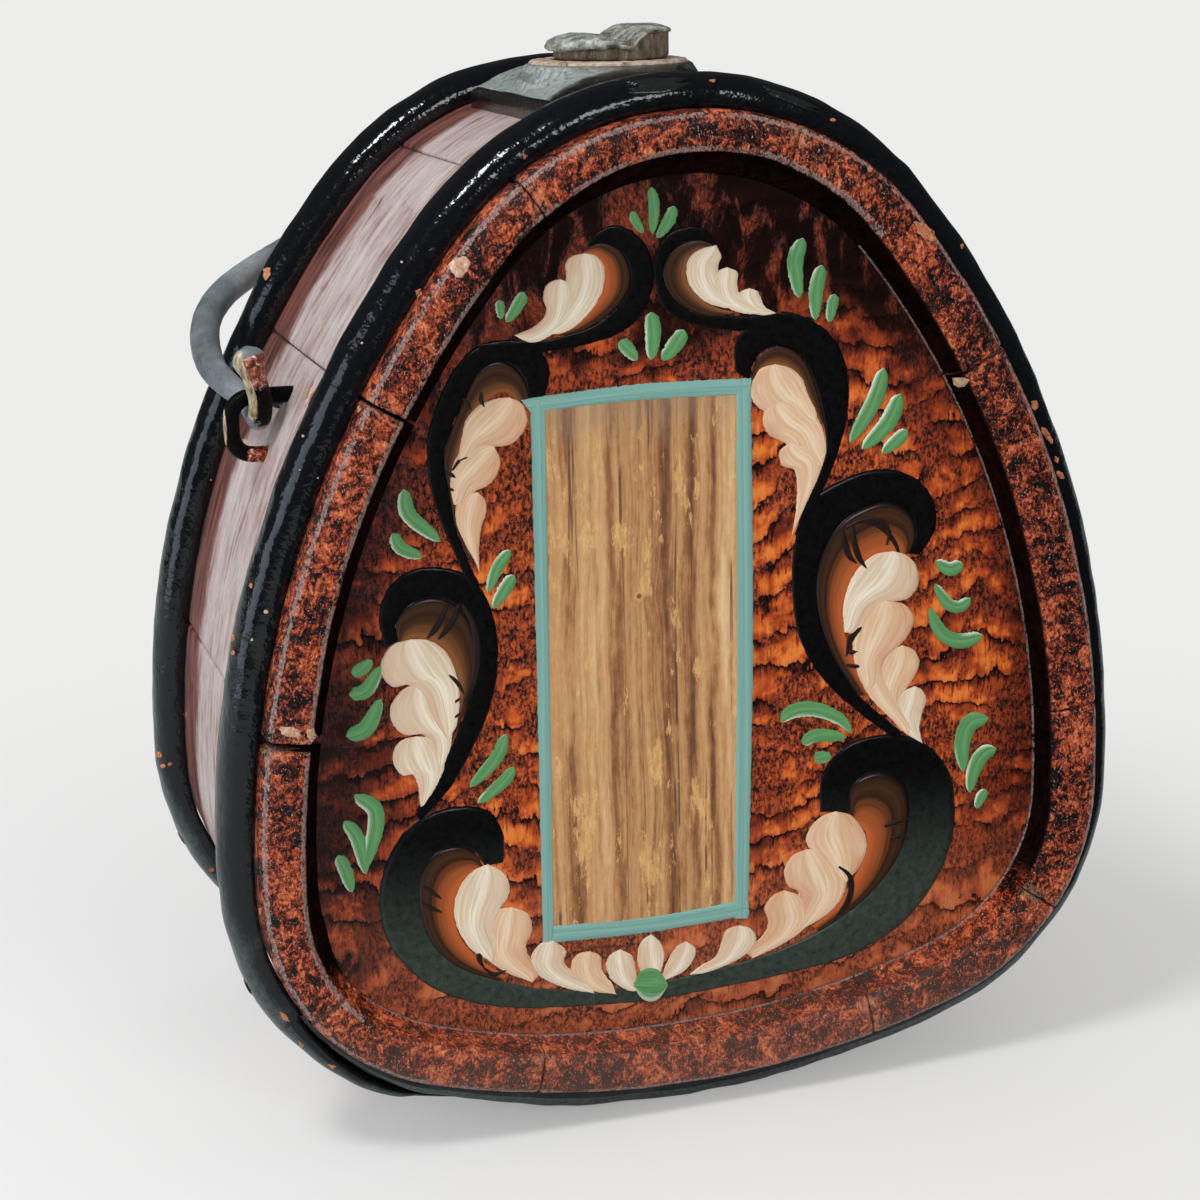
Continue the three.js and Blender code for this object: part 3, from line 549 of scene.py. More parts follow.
def make_gloss_black(name, shade, chip_shade, rough=0.14, bump=0.25, chips=0.735, edge_line_and_floor_reflection=False):
    """Thick black gloss over wood, with specks where it has chipped away, and if asked, a pale line along an
    edge and a painted reflection of the floor on faces that look down.
    """
    look = Look(name)
    mm = look.scaled()
    wave = look.noise(mm, 0.09, 4, 0.6)
    fine = look.noise(mm, 0.6, 5, 0.6)
    speck = look.noise(mm, 0.33, 5, 0.75, 0.4)
    chip = look.step(speck, chips, chips + 0.02)
    tone = look.ramp(fine, [(0.3, shade), (0.7, tuple(1.6 * c for c in shade[:3]) + (1.0,))])
    base = look.mix(chip, tone, chip_shade)
    if edge_line_and_floor_reflection:
        # Faces that look down take a painted grey-green reflection of the floor.
        under = look.facing()[2]
        under = look.step(look.shaken(under, wave, 0.5), -0.04, -0.30)
        base = look.mix(under * 0.85, base, look.ramp(fine, [(0.3, 48, 56, 56), (0.7, 84, 92, 90)]))
        line = look.zone()[1] * look.step(look.noise(mm, 0.06, 4, 0.7), 0.36, 0.50)
        base = look.mix(look.step(line, 0.25, 0.7), base, colour(150, 144, 138))
    height = look.times_plus(wave, 2.6, fine * 0.09) - chip * 0.7
    rough_value = look.times_plus(chip, 0.5, look.times_plus(fine, 0.14, rough - 0.05))
    return look.finish(base, rough_value, height, bump, coat=0.45, coat_rough=0.06, level=0.32)


def make_brushed(name, low, high, streak=None, rough=0.42, depth=0.09, rim=None):
    """Paint laid with a brush: streaks run along the stroke, which is V in the UV map."""
    look = Look(name)
    uv = look.uv()
    hairs = look.noise(look.scaled((16, 1.3, 1), uv), 1.0, 5, 0.6, 0.3)
    wide = look.noise(look.scaled((3.2, 0.8, 1), uv), 1.0, 3, 0.5)
    patch = look.noise(look.scaled(), 0.05, 2)
    value = hairs * 0.6 + wide * 0.5
    base = look.ramp(value, [(0.42, low), (0.62, high)])
    if streak is not None:
        across = look.split(uv)[0]
        side = look.step(look.shaken(across, wide, 0.9), 0.42, 0.9)
        amount = side * look.step(hairs, 0.36, 0.6)
        amount *= look.step(patch, 0.36, 0.56)
        base = look.mix(amount * 0.85, base, streak)
    if rim is not None:
        across = look.split(uv)[0]
        near = look.step(look.shaken(across, hairs, 0.35), 0.74, 0.98)
        base = look.mix(near * look.step(patch, 0.40, 0.56), base, rim)
    return look.finish(base, rough, value, depth, coat=0.15, coat_rough=0.2)


def make_fill(name, warm):
    """The inside of a scroll: dark brown at its outer edge, warmer towards the lobes."""
    look = Look(name)
    uv = look.uv()
    across = look.split(uv)[0]
    hairs = look.noise(look.scaled((14, 1.2, 1), uv), 1.0, 4, 0.6, 0.2)
    value = look.shaken(across, hairs, 0.34)
    base = look.ramp(value, [
        (0.0, 22, 13, 8), (0.20, 74, 42, 18), (0.33, 50, 28, 13),
        (0.54, warm[0]), (0.85, warm[1]),
    ])
    return look.finish(base, 0.32, hairs, 0.06, coat=0.2, coat_rough=0.15)


def make_scroll_black():
    look = Look("scroll_black")
    mm = look.scaled()
    z = look.split(mm)[2]
    fine = look.noise(mm, 0.5, 5, 0.65)
    dark = look.ramp(fine, [(0.35, 5, 5, 6), (0.7, 15, 15, 16)])
    green = look.ramp(fine, [(0.3, 40, 48, 43), (0.7, 66, 76, 68)])
    base = look.mix(look.step(z, 88.0, 46.0), dark, green)
    rough = look.times_plus(fine, 0.2, 0.2)
    return look.finish(base, rough, fine, 0.10, coat=0.1, coat_rough=0.12, level=0.3)


# Dark bands of the panel's grain: pixel across, half width in millimetres, depth of tone.
GRAIN_BANDS = [
    (569, 2.4, 0.10), (596, 0.8, 0.08), (614, 1.3, 0.09), (640, 0.6, 0.04),
    (669, 1.5, 0.09), (694, 1.2, 0.10), (715, 1.6, 0.12), (728, 0.8, 0.08),
]
# The base of every curve here that falls away like a bell.
EULER = 2.718


def make_bare_wood():
    """The bare panel: softwood with upright grain, dark lines, yellow worn places and a knot."""
    look = Look("bare_panel")
    mm = look.scaled()
    x, _, z = look.split(mm)
    # The grain bends round a small knot.
    kx, kz = on_head(639, 596)
    dx = x - kx
    dz = z - kz
    near = look.math("SQRT", dx ** 2.0 + dz ** 2.0)
    push = dx / (near + 2.5) * (EULER ** (near * -0.16) * 3.0)
    slow = look.noise(mm, 0.016, 2)
    bent = look.value("ShaderNodeCombineXYZ", 0, {0: x + push + slow * 8.0, 2: z * 0.012})
    rings = look.noise(bent, 0.115, 2, 0.45)
    drift = look.noise(look.scaled((0.3, 1, 1)), 0.022, 3, 0.6)
    wander = look.shaken(x + push, drift, 9.0)
    shade = 0.0
    for pixel, wide, deep in GRAIN_BANDS:
        off = (wander - on_head(pixel, 600)[0]) / wide
        bell = EULER ** (off * off * -1.0)
        shade = look.times_plus(bell, deep, shade)
    fading = look.noise(look.scaled((1, 1, 0.35)), 0.09, 3, 0.6)
    shade *= look.step(fading, 0.34, 0.54)
    fibre = look.noise(look.scaled((1, 1, 1.6), bent), 0.62, 6, 0.72)
    value = rings * 0.52 + fibre * 0.46
    grit = look.noise(look.scaled((1, 1, 0.3)), 0.9, 6, 0.78)
    value = look.shaken(value, grit, 0.26)
    value = look.shaken(0.562, value, 0.82)
    value -= shade * 1.05
    base = look.ramp(value, [
        (0.40, 112, 68, 38), (0.47, 156, 102, 58),
        (0.53, 190, 138, 86), (0.60, 208, 160, 106), (0.70, 230, 194, 146),
    ])
    # Hair cracks that run with the grain, and come and go.
    seam = look.math("ABSOLUTE", look.noise(look.scaled((1, 1, 0.012)), 0.17, 3, 0.55) - 0.5)
    present = look.step(look.noise(look.scaled((1, 1, 0.4)), 0.10, 3), 0.44, 0.52)
    split_line = look.step(seam, 0.010, 0.003) * present
    base = look.mix(split_line * 0.75, base, colour(82, 50, 28))
    worn = look.step(look.noise(look.scaled((1, 1, 0.26)), 0.15, 7, 0.74), 0.572, 0.58)
    zone = look.step(look.noise(mm, 0.05, 3), 0.42, 0.50)
    yellow = look.ramp(grit, [(0.4, 212, 158, 88), (0.6, 236, 190, 124)])
    base = look.mix(worn * zone * 0.72, base, yellow)
    top = on_head(640, 400)[1]
    haze = look.noise(look.scaled((1, 1, 0.3)), 0.3, 4)
    grey = look.step(look.shaken(z, haze, 26.0), top - 12.0, top - 1.0)
    base = look.mix(grey * 0.38, base, colour(152, 132, 108))
    ring = look.band(near, 0.7, 1.3, 0.3)
    base = look.mix(ring * 0.7, base, colour(214, 160, 104))
    knot = look.step(near, 0.9, 0.4)
    base = look.mix(knot * 0.8, base, colour(96, 54, 28))
    return look.finish(base, 0.5, value, 0.3, coat=0.1, coat_rough=0.25)


def make_worn(name, stops, scale=0.5, stretch=(1, 1, 1), rough=0.6, depth=0.4, coat=0.0):
    """A worn, uneven surface whose tone follows a stretched noise."""
    look = Look(name)
    first = look.noise(look.scaled(stretch), scale, 6, 0.66, 0.4)
    second = look.noise(look.scaled(stretch), scale * 4.3, 4, 0.7)
    value = first * 0.7 + second * 0.3
    base = look.ramp(value, stops)
    rough_value = look.shaken(rough, second, 0.3)
    return look.finish(base, rough_value, value, depth, coat=coat, coat_rough=0.15)


def make_handle_look():
    """Iron: smooth blue-grey on the arch; worn red-brown, cream and black where the zones say so."""
    look = Look("handle_iron")
    mm = look.scaled()
    red, cream, black = look.zone()
    slow = look.noise(mm, 0.06, 4, 0.6)
    fine = look.noise(mm, 0.9, 5, 0.7, 0.3)
    rust = look.noise(mm, 0.55, 5, 0.75, 0.8)
    value = slow * 0.75 + fine * 0.25
    base = look.ramp(value, [(0.36, 84, 91, 95), (0.5, 118, 126, 130), (0.64, 156, 162, 164)])
    base = look.mix(look.step(rust, 0.60, 0.68) * 0.5, base, colour(72, 62, 54))
    blot = look.noise(mm, 0.32, 6, 0.74, 0.4)
    blot = (blot - 0.5) * 2.4
    inked = look.step(blot + black, 0.40, 0.56)
    base = look.mix(inked, base, look.ramp(fine, [(0.4, 7, 7, 8), (0.72, 22, 18, 17)]))
    worn = look.ramp(rust, [(0.40, 46, 16, 11), (0.47, 120, 48, 30), (0.54, 166, 84, 60),
                            (0.59, 196, 140, 116), (0.63, 232, 222, 212)])
    base = look.mix(look.step(blot + red, 0.42, 0.56), base, worn)
    pale = look.ramp(look.noise(look.scaled((1, 1, 0.35)), 0.8, 5, 0.7), [
        (0.36, 78, 66, 44), (0.46, 140, 124, 90), (0.56, 182, 170, 140), (0.66, 206, 200, 182)])
    base = look.mix(look.step(look.times_plus(blot, 0.5, cream), 0.42, 0.54), base, pale)
    rough = look.times_plus(fine, 0.3, 0.2)
    level = look.times_plus(inked, -0.46, 0.5)
    return look.finish(base, rough, value + rust * 0.6, 0.35, coat=0.04, coat_rough=0.08, level=level)


def make_boss_look():
    """Black paint with a painted grey sheen on its top, palest towards the left as a painted reflection, and
    dark brown wood at the ends.
    """
    look = Look("boss_black")
    mm = look.scaled()
    x = look.split(mm)[0]
    facing = look.facing()
    patch = look.noise(mm, 0.10, 4, 0.6)
    fine = look.noise(mm, 0.7, 5, 0.65)
    # The top is painted as a grey sheen, palest towards the left where it stands for a reflection; faces
    # that do not look up stay black.
    worn = look.shaken(x, patch, 26.0)
    left = look.step(worn, 4.0, -16.0)
    pale = look.ramp(fine, [(0.34, 112, 120, 116), (0.66, 180, 188, 184)])
    dim = look.ramp(fine, [(0.34, 38, 41, 40), (0.66, 84, 90, 88)])
    top = look.mix(left, dim, pale)
    side = look.ramp(fine, [(0.35, 10, 11, 12), (0.68, 30, 30, 30)])
    brown = look.ramp(fine, [(0.35, 9, 6, 5), (0.66, 27, 19, 15)])
    side = look.mix(look.step(x, -27.0, -27.6), side, brown)
    # Black along the front edge, where the painted sheen stops, less of it towards the left end.
    slant = look.times_plus(x, -0.35, look.split(mm)[1])
    margin = look.shaken(slant, patch, 12.0)
    top = look.mix(look.band(margin, 34.0, 106.0, 5.0), side, top)
    base = look.mix(look.step(facing[2], 0.30, 0.55), side, top)
    rough = look.times_plus(fine, 0.3, 0.16)
    return look.finish(
        base, rough, patch + fine, 0.3, coat=0.3, coat_rough=0.06, level=0.3, coat_depth=0.15)


RIM = make_rim()
GROUND = make_ground()
HOOP = make_gloss_black(
    "hoop_black", colour(10, 12, 15), colour(168, 108, 72), chips=0.715, bump=0.34, edge_line_and_floor_reflection=True)
HOOP_NAIL = make_gloss_black(
    "nail_black", colour(12, 13, 15), colour(120, 84, 62), rough=0.3, bump=0.2, chips=0.60)
BOSS = make_boss_look()
BLACK = make_scroll_black()
FILL = make_fill("scroll_fill", (colour(142, 70, 24), colour(190, 92, 34)))
BROWN_FILL = make_fill("brown_fill", (colour(84, 48, 20), colour(138, 84, 38)))
CREAM = make_brushed(
    "cream_strokes", colour(206, 176, 140), colour(246, 236, 214), streak=colour(206, 142, 98))
PEACH = make_brushed(
    "peach_strokes", colour(214, 164, 122), colour(242, 216, 184), streak=colour(196, 122, 78))
GREEN = make_brushed(
    "green_strokes", colour(70, 130, 72), colour(104, 166, 104), rim=colour(206, 224, 198))
TICK = make_brushed("dark_ticks", colour(26, 18, 15), colour(40, 26, 20), rough=0.35)
TEAL = make_brushed("teal_frame", colour(106, 158, 148), colour(136, 184, 174), rough=0.5)
PANEL = make_bare_wood()
HANDLE_LOOK = make_handle_look()
COLLAR = make_worn("collar_wood", [
    (0.36, 120, 76, 52), (0.44, 164, 136, 118), (0.54, 196, 180, 164), (0.7, 218, 206, 190),
], 0.45, (1, 1, 1), 0.62, 0.5)
STOPPER = make_worn("stopper_wood", [
    (0.38, 52, 50, 45), (0.45, 108, 109, 101), (0.53, 152, 156, 145), (0.63, 204, 208, 198),
], 0.3, (1, 1, 1), 0.55, 0.8, coat=0.15)
STOPPER_BARE = make_worn("stopper_bare", [
    (0.38, 62, 50, 39), (0.5, 112, 98, 78), (0.64, 158, 146, 122),
], 0.5, (1, 1, 0.3), 0.62, 0.5)
PEG = make_worn("peg_wood", [
    (0.38, 28, 26, 25), (0.52, 46, 42, 39), (0.66, 86, 70, 58),
], 0.7, (1, 1, 1), 0.4, 0.3, coat=0.3)
CHIP = make_worn("chipped_paint", [
    (0.38, 150, 78, 44), (0.5, 188, 112, 70), (0.62, 212, 152, 112),
], 0.6, (1, 1, 1), 0.62, 0.3)
FLAKE = make_gloss_black(
    "flaked_layer", colour(25, 29, 28), colour(96, 84, 76), rough=0.24, bump=0.34, chips=0.68)
PALE_CHIP = make_worn("pale_chip", [
    (0.38, 160, 112, 84), (0.5, 204, 162, 132), (0.62, 232, 204, 178),
], 0.7, (1, 1, 1), 0.66, 0.3)
SCUFF = make_worn("scuffed_red", [
    (0.40, 72, 20, 12), (0.5, 146, 56, 36), (0.6, 186, 104, 78),
], 0.5, (1, 1, 1), 0.5, 0.3)


# Staves.
RIM_ROUND = 4.0
# The plain section's heights under the outside: where the rim's face ends, where the turn under it
# ends, the floor of the head's groove, and the inner wall.
FACE_END = -8.6
TURN_END = -11.0
GROOVE_FLOOR = -12.2
WALL = -16.0
# Where the head's groove begins and ends, from the middle of the stave.
GROOVE = (53.5, 61.0)
HALF_JOINT = 0.22

# How much deeper or shallower than the plain section the rim is, by the angle round it.
DEPTH_TURNS = [-1.3, -0.97, -0.55, -0.2, 0.0, 0.12, 0.5, 1.6, 1.9, 2.4]
DEPTH_SHARES = [1.0, 0.80, 0.86, 0.84, 0.98, 0.97, 1.0, 1.04, 1.04, 1.0]

# How far in the rim's face reaches before it turns under, by the angle round it.
FACE_TURNS = [
    -3.14, -2.9, -2.6, -1.93, -1.757, -1.0, -0.5, -0.2, 0.0, 0.5, 1.2, 1.6, 1.85, 2.3, 2.9, 3.14,
]
FACE_DEPTHS = [
    10.4, 10.5, 11.2, 11.3, 12.2, 11.0, 12.0, 12.0, 13.0, 13.4, 14.2, 15.0, 14.8, 12.8, 10.4, 10.4,
]


def thickening(angle):
    return float(np.interp(half_turn(angle), DEPTH_TURNS, DEPTH_SHARES))


def rim_height(height, angle):
    """The plain section's height, moved to where the rim's face and foot lie at this angle."""
    face = float(np.interp(half_turn(angle), FACE_TURNS, FACE_DEPTHS))
    foot = RIM_ROUND - (WALL + RIM_ROUND) * thickening(angle)
    if height == GROOVE_FLOOR:
        return -RIM_ROUND + (height + RIM_ROUND) * thickening(angle)
    plain = [WALL, WALL + 0.3, TURN_END, FACE_END, -RIM_ROUND]
    moved = [-foot, 0.3 - foot, -face, FACE_END - TURN_END - face, -RIM_ROUND]
    return float(np.interp(height, plain, moved))


def stave_section():
    """(height, place along the keg, freedom to move, inner wall, edge line) round one stave."""
    end = []
    for i, line in enumerate((0, 0, 0, 0.5, 1.0, 0.6, 0, 0, 0)):
        turn = i / 8 * math.pi / 2
        height = -RIM_ROUND + RIM_ROUND * math.cos(turn)
        end.append((height, STAVE_HALF - RIM_ROUND + RIM_ROUND * math.sin(turn), 1.0, 0, line))
    face = -RIM_ROUND - FACE_END
    for share, line in ((0.3, 0), (0.65, 0), (0.92, 0), (1.0, 0.1)):
        end.append((-RIM_ROUND - share * face, STAVE_HALF, 1.0, 0, line))
    under = FACE_END - TURN_END
    for i, inner, line in ((1, 0, 1.0), (2, 0.5, 0.5), (3, 1.0, 0.0)):
        turn = i / 3 * math.pi / 2
        height = FACE_END - under * math.sin(turn)
        end.append((height, STAVE_HALF - under * (1 - math.cos(turn)), 0.8, inner, line))
    end += [
        (-12.6, 65.0, 0.4, 1, 0), (-15.3, 61.9, 0.0, 1, 0), (WALL + 0.3, 61.6, 0.0, 1, 1),
        (WALL, GROOVE[1], 0.0, 1, 1), (GROOVE_FLOOR, GROOVE[1], 0.0, 1, 0),
        (GROOVE_FLOOR, GROOVE[0], 0.0, 1, 0), (WALL, GROOVE[0], 0.0, 1, 0),
    ]
    outer = [(0.0, y, 1.0, 0, 0) for y in np.linspace(-64.5, 64.5, 22)]
    front = [(h, -y, f, i, e) for h, y, f, i, e in reversed(end)]
    return outer + end + front


SECTION = stave_section()

# How far each joint stands open at the front rim, in millimetres, where it shows.
OPEN_JOINTS = {4.558: 1.9, 5.323: 0.7, 2.095: 0.5, 4.198: 0.5}


def make_stave(index):
    name = STAVES[index]
    start = JOINTS[index]
    end = JOINTS[(index + 1) % len(JOINTS)]
    open_start = OPEN_JOINTS.get(start, 0)
    open_end = OPEN_JOINTS.get(end, 0)
    if end < start:
        end += TAU
    start_gap = HALF_JOINT / radius_at(start + 0.001)
    end_gap = HALF_JOINT / radius_at(end - 0.001)
    angles = even_angles(start + start_gap, end - end_gap, STAVE_STEP)
    # Two more places close to each joint, where its edges are worn round.
    near_joint = (0.35, 0.9)
    first = [angles[0] + d / radius_at(angles[0] + 0.01) for d in near_joint]
    last = [angles[-1] - d / radius_at(angles[-1] - 0.01) for d in reversed(near_joint)]
    angles = np.concatenate([[angles[0]], first, angles[1:-1], last, [angles[-1]]])
    rings, uv, zone = [], [], []
    seed = 3.1 * index
    travelled = 0.0
    for number, angle in enumerate(angles):
        if number:
            travelled += (angle - angles[number - 1]) * (radius_at(angle) + MEASURED_AT)
        from_start = (angle - angles[0]) * radius_at(angle)
        from_end = (angles[-1] - angle) * radius_at(angle)
        away = min(from_start, from_end)
        soften = 0.55 * max(0.0, 1 - away / 0.9) ** 2
        ring = []
        for height, place, free, inner, line in SECTION:
            h = height if height > -RIM_ROUND else rim_height(height, angle)
            x, z = outline(angle, h)
            rough = 0.34 * wobble(x, place, z, 13, seed) + 0.16 * wobble(x, place, z, 5, seed + 7)
            inward = -abs(rough) * 0.9 - soften
            if height > -1.0:
                h += free * inward
                y = place
            else:
                h += free * 0.5 * rough
                y = place - math.copysign(free * (0.30 - inward * 0.9), place) if free > 0.7 else place
            # A joint that stands open is worn back at the front rim only.
            shift = 0.0
            if place < -60:
                here = (1 + 0.35 * wobble(x, h, z, 4, seed)) / 2
                shift += open_start * here * max(0, 1 - from_start / 5) ** 2
                shift -= open_end * here * max(0, 1 - from_end / 5) ** 2
            # Under the hoops the stave stays low, so the hoop always rests proud of it.
            x, z = outline(angle + shift / (radius_at(angle) + h), min(h, 0.0))
            ring.append((x, STAVE_MIDDLE + y, z))
            uv.append((place / 100 + 3.7 * index, travelled / 100 + 1.3 * index))
            # Low down and on the right the pale line lies where the head meets the rim;
            # elsewhere it lies on the inner edge of the rim's face.
            low_or_right = -0.8 < half_turn(angle) < 2.3
            if height < -14 and not low_or_right or -13 < height < -7 and low_or_right:
                line = 0.0
            zone.append((inner, line, max(0.0, 1 - away / 3.0)))
        rings.append(ring)
    points, faces = loft(rings)
    return new_object(name + "_dressed", points, faces, RIM, uv=uv, zone=zone)


for index, name in enumerate(STAVES):
    piece = make_stave(index)
    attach(piece, "keg")
    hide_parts(name)


# Hoops.
LAP_START = -0.98
LAP_END = -0.25
HOOP_HALF = 8.85
HOOP_THICK = 8.4
# How far the hoop's inner face stands off the staves, and how far its crown stands over its thickness.
HOOP_FOOT = 0.3
HOOP_CROWN = 0.22

# Straight runs and corners where the thin wood did not take the curve: angle, width, how far in.
FLATS = {
    "front": [(1.72, 0.10, 0.9), (1.93, 0.06, 0.7), (0.83, 0.10, 0.8), (-1.25, 0.12, 0.9),
              (-2.05, 0.07, 0.8)],
    "rear": [(-1.28, 0.22, 1.3), (-1.62, 0.08, 0.6), (-2.4, 0.08, 0.8), (1.5, 0.12, 0.8)],
}


def make_hoop(end):
    """A split hoop whose thinned ends lap, the outer tongue hugging the inner one."""
    centre = HOOP_Y[end]
    lap = LAP_END - LAP_START
    tip = 1.5
    angles = even_angles(LAP_START, LAP_END - 0.02 + TAU, HOOP_STEP)
    rings, zone = [], []
    seed = 5.0 if end == "front" else 17.0
    count = 20
    for angle in angles:
        inner = HOOP_FOOT
        outer = HOOP_THICK + HOOP_CROWN
        half = HOOP_HALF
        if angle < LAP_END:
            outer = tip + (HOOP_THICK - 2 * tip) * ((angle - LAP_START) / lap)
        elif angle < LAP_END + 0.08:
            outer -= (tip + HOOP_CROWN) * (1 - (angle - LAP_END) / 0.08)
        if angle > LAP_START + TAU:
            share = (angle - LAP_START - TAU) / lap
            inner = HOOP_FOOT + tip + (HOOP_THICK - 2 * tip) * share
            thin = min(1.0, max(0.0, (share - 0.80) / 0.17))
            outer -= (outer - inner - 0.4) * thin * thin
            half = HOOP_HALF * (1 - 0.8 * min(1.0, max(0.0, (share - 0.55) / 0.42)) ** 2)
        here = half_turn(angle)
        flat = sum(deep * math.exp(-((here - spot) / wide) ** 2) for spot, wide, deep in FLATS[end])
        ring = []
        spots = [(0.0, -half), (0.12, -half)]
        for i in range(count + 1):
            turn = i / count * math.pi
            spots.append((0.24 + 0.76 * math.sin(turn) ** 0.8, -half * math.cos(turn)))
        spots += [(0.12, half), (0.0, half)]
        for share, across in spots:
            x, z = outline(angle, 0)
            lump = wobble(x, across * 0.6, z, 26, seed) * 1.1 + wobble(x, across, z, 8, seed + 3) * 0.5
            drop = (abs(lump) * 0.8 + 0.5 * flat) * share
            h = inner + (outer - inner) * share - drop * min(1.0, (outer - inner) / 5)
            side = across * (1 - 0.04 * (1 + wobble(x, 0, z, 15, seed + across * 0.02)))
            x, z = outline(angle, h)
            ring.append((x, centre + side, max(z, 0.0)))
            line = 1.0 if share == 0.12 and across > 0 and end == "front" else 0.0
            zone.append((0.0, line, 0.0))
        rings.append(ring)
    points, faces = loft(rings)
    return new_object(f"hoop_{end}_dressed", points, faces, HOOP, zone=zone)


hoops = {}
for end in HOOP_Y:
    hoops[end] = make_hoop(end)
    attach(hoops[end], "keg")
    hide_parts(f"hoop_{end}")


# Ornament on the front head. Outlines are read off the photograph's pixels and laid on the head.
PAINT_LOOKS = {
    "peach": PEACH, "black": BLACK, "fill": FILL, "brown": BROWN_FILL,
    "cream": CREAM, "green": GREEN, "tick": TICK, "teal": TEAL,
}
PAINT = {kind: ([], [], []) for kind in PAINT_LOOKS}
# How far each kind of stroke stands off the head, in millimetres, from the first laid to the last.
SCROLL_LEVEL = 0.06
FRAME_LEVEL = 0.10
FILL_LEVEL = 0.12
LEAF_LEVEL = 0.12
LOBE_LEVEL = 0.20
TICK_LEVEL = 0.36
DAB_LEVEL = 0.44


def lay(kind, rail_a, rail_b, level, thick=0.10, across=14, along=46, fray=0.0, seed=0.0):
    """Lays one stroke between two rails given in pixels. U runs from rail a to rail b, V along."""
    points, faces, uvs = PAINT[kind]
    a = catmull([on_head(*p) for p in rail_a], along + 1)
    b = catmull([on_head(*p) for p in rail_b], along + 1)
    base = len(points)
    for j in range(along + 1):
        for i in range(across + 1):
            u = i / across
            spot = a[j] * (1 - u) + b[j] * u
            dome = 1 - abs(2 * u - 1) ** 4
            if fray:
                edge = abs(2 * u - 1) ** 3
                shake = fray * edge * noise.noise(Vector((spot[0] * 1.7, spot[1] * 1.7, seed)))
                spot = spot + (b[j] - a[j]) * shake / (np.linalg.norm(b[j] - a[j]) + 0.5)
            points.append((spot[0], HEAD_Y - level - thick * dome, spot[1]))
            uvs.append((u, j / along))
    top = len(points)
    for j in range(along + 1):
        for i in (0, across):
            p = points[base + j * (across + 1) + i]
            points.append((p[0], HEAD_Y - 0.01, p[2]))
            uvs.append((i / across, j / along))
    for j in range(along):
        for i in range(across):
            q = base + j * (across + 1) + i
            faces.append((q, q + 1, q + across + 2, q + across + 1))
    for j in range(along):
        for k, i in enumerate((0, across)):
            q = base + j * (across + 1) + i
            r = q + across + 1
            s = top + 2 * j + k
            faces.append((q, r, s + 2, s) if k == 0 else (r, q, s, s + 2))


def comma(kind, points, tail, level, **more):
    """A closed outline that starts at the stroke's head; tail is the index of its far tip."""
    lay(kind, points[:tail + 1], [points[0]] + points[:tail - 1:-1], level, **more)


def ribbon(kind, spine, widths, level, **more):
    """A stroke along a spine with a width in pixels at each of its points."""
    p = np.array(spine, float)
    direction = np.gradient(p, axis=0)
    direction /= np.linalg.norm(direction, axis=1)[:, None]
    side = np.stack([direction[:, 1], -direction[:, 0]], axis=1) * np.array(widths)[:, None] / 2
    lay(kind, (p + side).tolist(), (p - side).tolist(), level, **more)


# Black scrolls: outer rail, then inner rail.
SCROLLS = [
    ([(588, 244), (600, 230), (620, 226), (642, 240), (652, 262), (652, 290), (642, 314), (622, 332),
      (592, 343), (556, 350), (520, 354), (480, 352)],
     [(590, 247), (602, 244), (618, 250), (628, 264), (630, 282), (622, 300), (606, 317), (588, 328),
      (566, 335), (545, 340), (515, 341), (478, 344)]),
    ([(716, 243), (706, 229), (686, 227), (666, 236), (655, 256), (655, 282), (662, 305), (680, 319),
      (710, 327), (745, 331), (785, 330), (815, 332)],
     [(712, 246), (702, 241), (690, 240), (675, 247), (664, 263), (665, 285), (677, 303), (697, 313),
      (722, 315), (750, 316), (785, 312), (812, 318)]),
    ([(545, 396), (549, 372), (540, 350), (515, 340), (480, 345), (455, 368), (438, 402), (427, 440),
      (429, 480), (438, 515), (455, 555), (470, 590)],
     [(528, 398), (524, 380), (512, 366), (496, 362), (478, 374), (466, 396), (453, 425), (444, 455),
      (449, 490), (455, 525), (466, 556), (480, 585)]),
    ([(736, 372), (734, 350), (745, 328), (775, 314), (806, 318), (830, 334), (845, 362), (849, 395),
      (844, 432), (832, 468), (818, 500), (800, 530)],
     [(750, 380), (752, 366), (762, 352), (778, 346), (796, 352), (810, 372), (818, 396), (824, 424),
      (826, 450), (818, 478), (806, 504), (794, 536)]),
    ([(384, 648), (379, 618), (388, 588), (412, 570), (445, 568), (474, 580), (492, 612), (498, 652),
      (492, 700), (474, 745), (450, 788), (420, 822)],
     [(398, 640), (396, 622), (408, 606), (430, 598), (450, 602), (466, 618), (474, 642), (475, 672),
      (466, 708), (452, 745), (434, 778), (416, 810)]),
    ([(920, 555), (935, 528), (932, 496), (908, 474), (872, 470), (838, 482), (808, 502), (795, 540),
      (792, 590), (802, 645), (835, 692), (895, 740)],
     [(907, 553), (916, 534), (908, 512), (888, 503), (866, 508), (844, 522), (826, 546), (818, 578),
      (819, 612), (832, 652), (858, 694), (902, 732)]),
    ([(504, 862), (503, 832), (490, 812), (462, 806), (425, 816), (398, 840), (381, 880), (382, 925),
      (402, 962), (445, 994), (520, 1008), (650, 1001)],
     [(484, 866), (474, 852), (456, 848), (438, 854), (424, 870), (420, 895), (424, 925), (438, 950),
      (462, 968), (500, 981), (560, 990), (650, 985)]),
    ([(820, 812), (822, 775), (846, 746), (885, 734), (926, 744), (950, 775), (954, 825), (940, 872),
      (905, 920), (850, 955), (765, 978), (650, 1001)],
     [(852, 810), (852, 788), (864, 776), (884, 773), (902, 783), (908, 806), (904, 838), (890, 868),
      (862, 900), (820, 930), (755, 958), (650, 985)]),
]
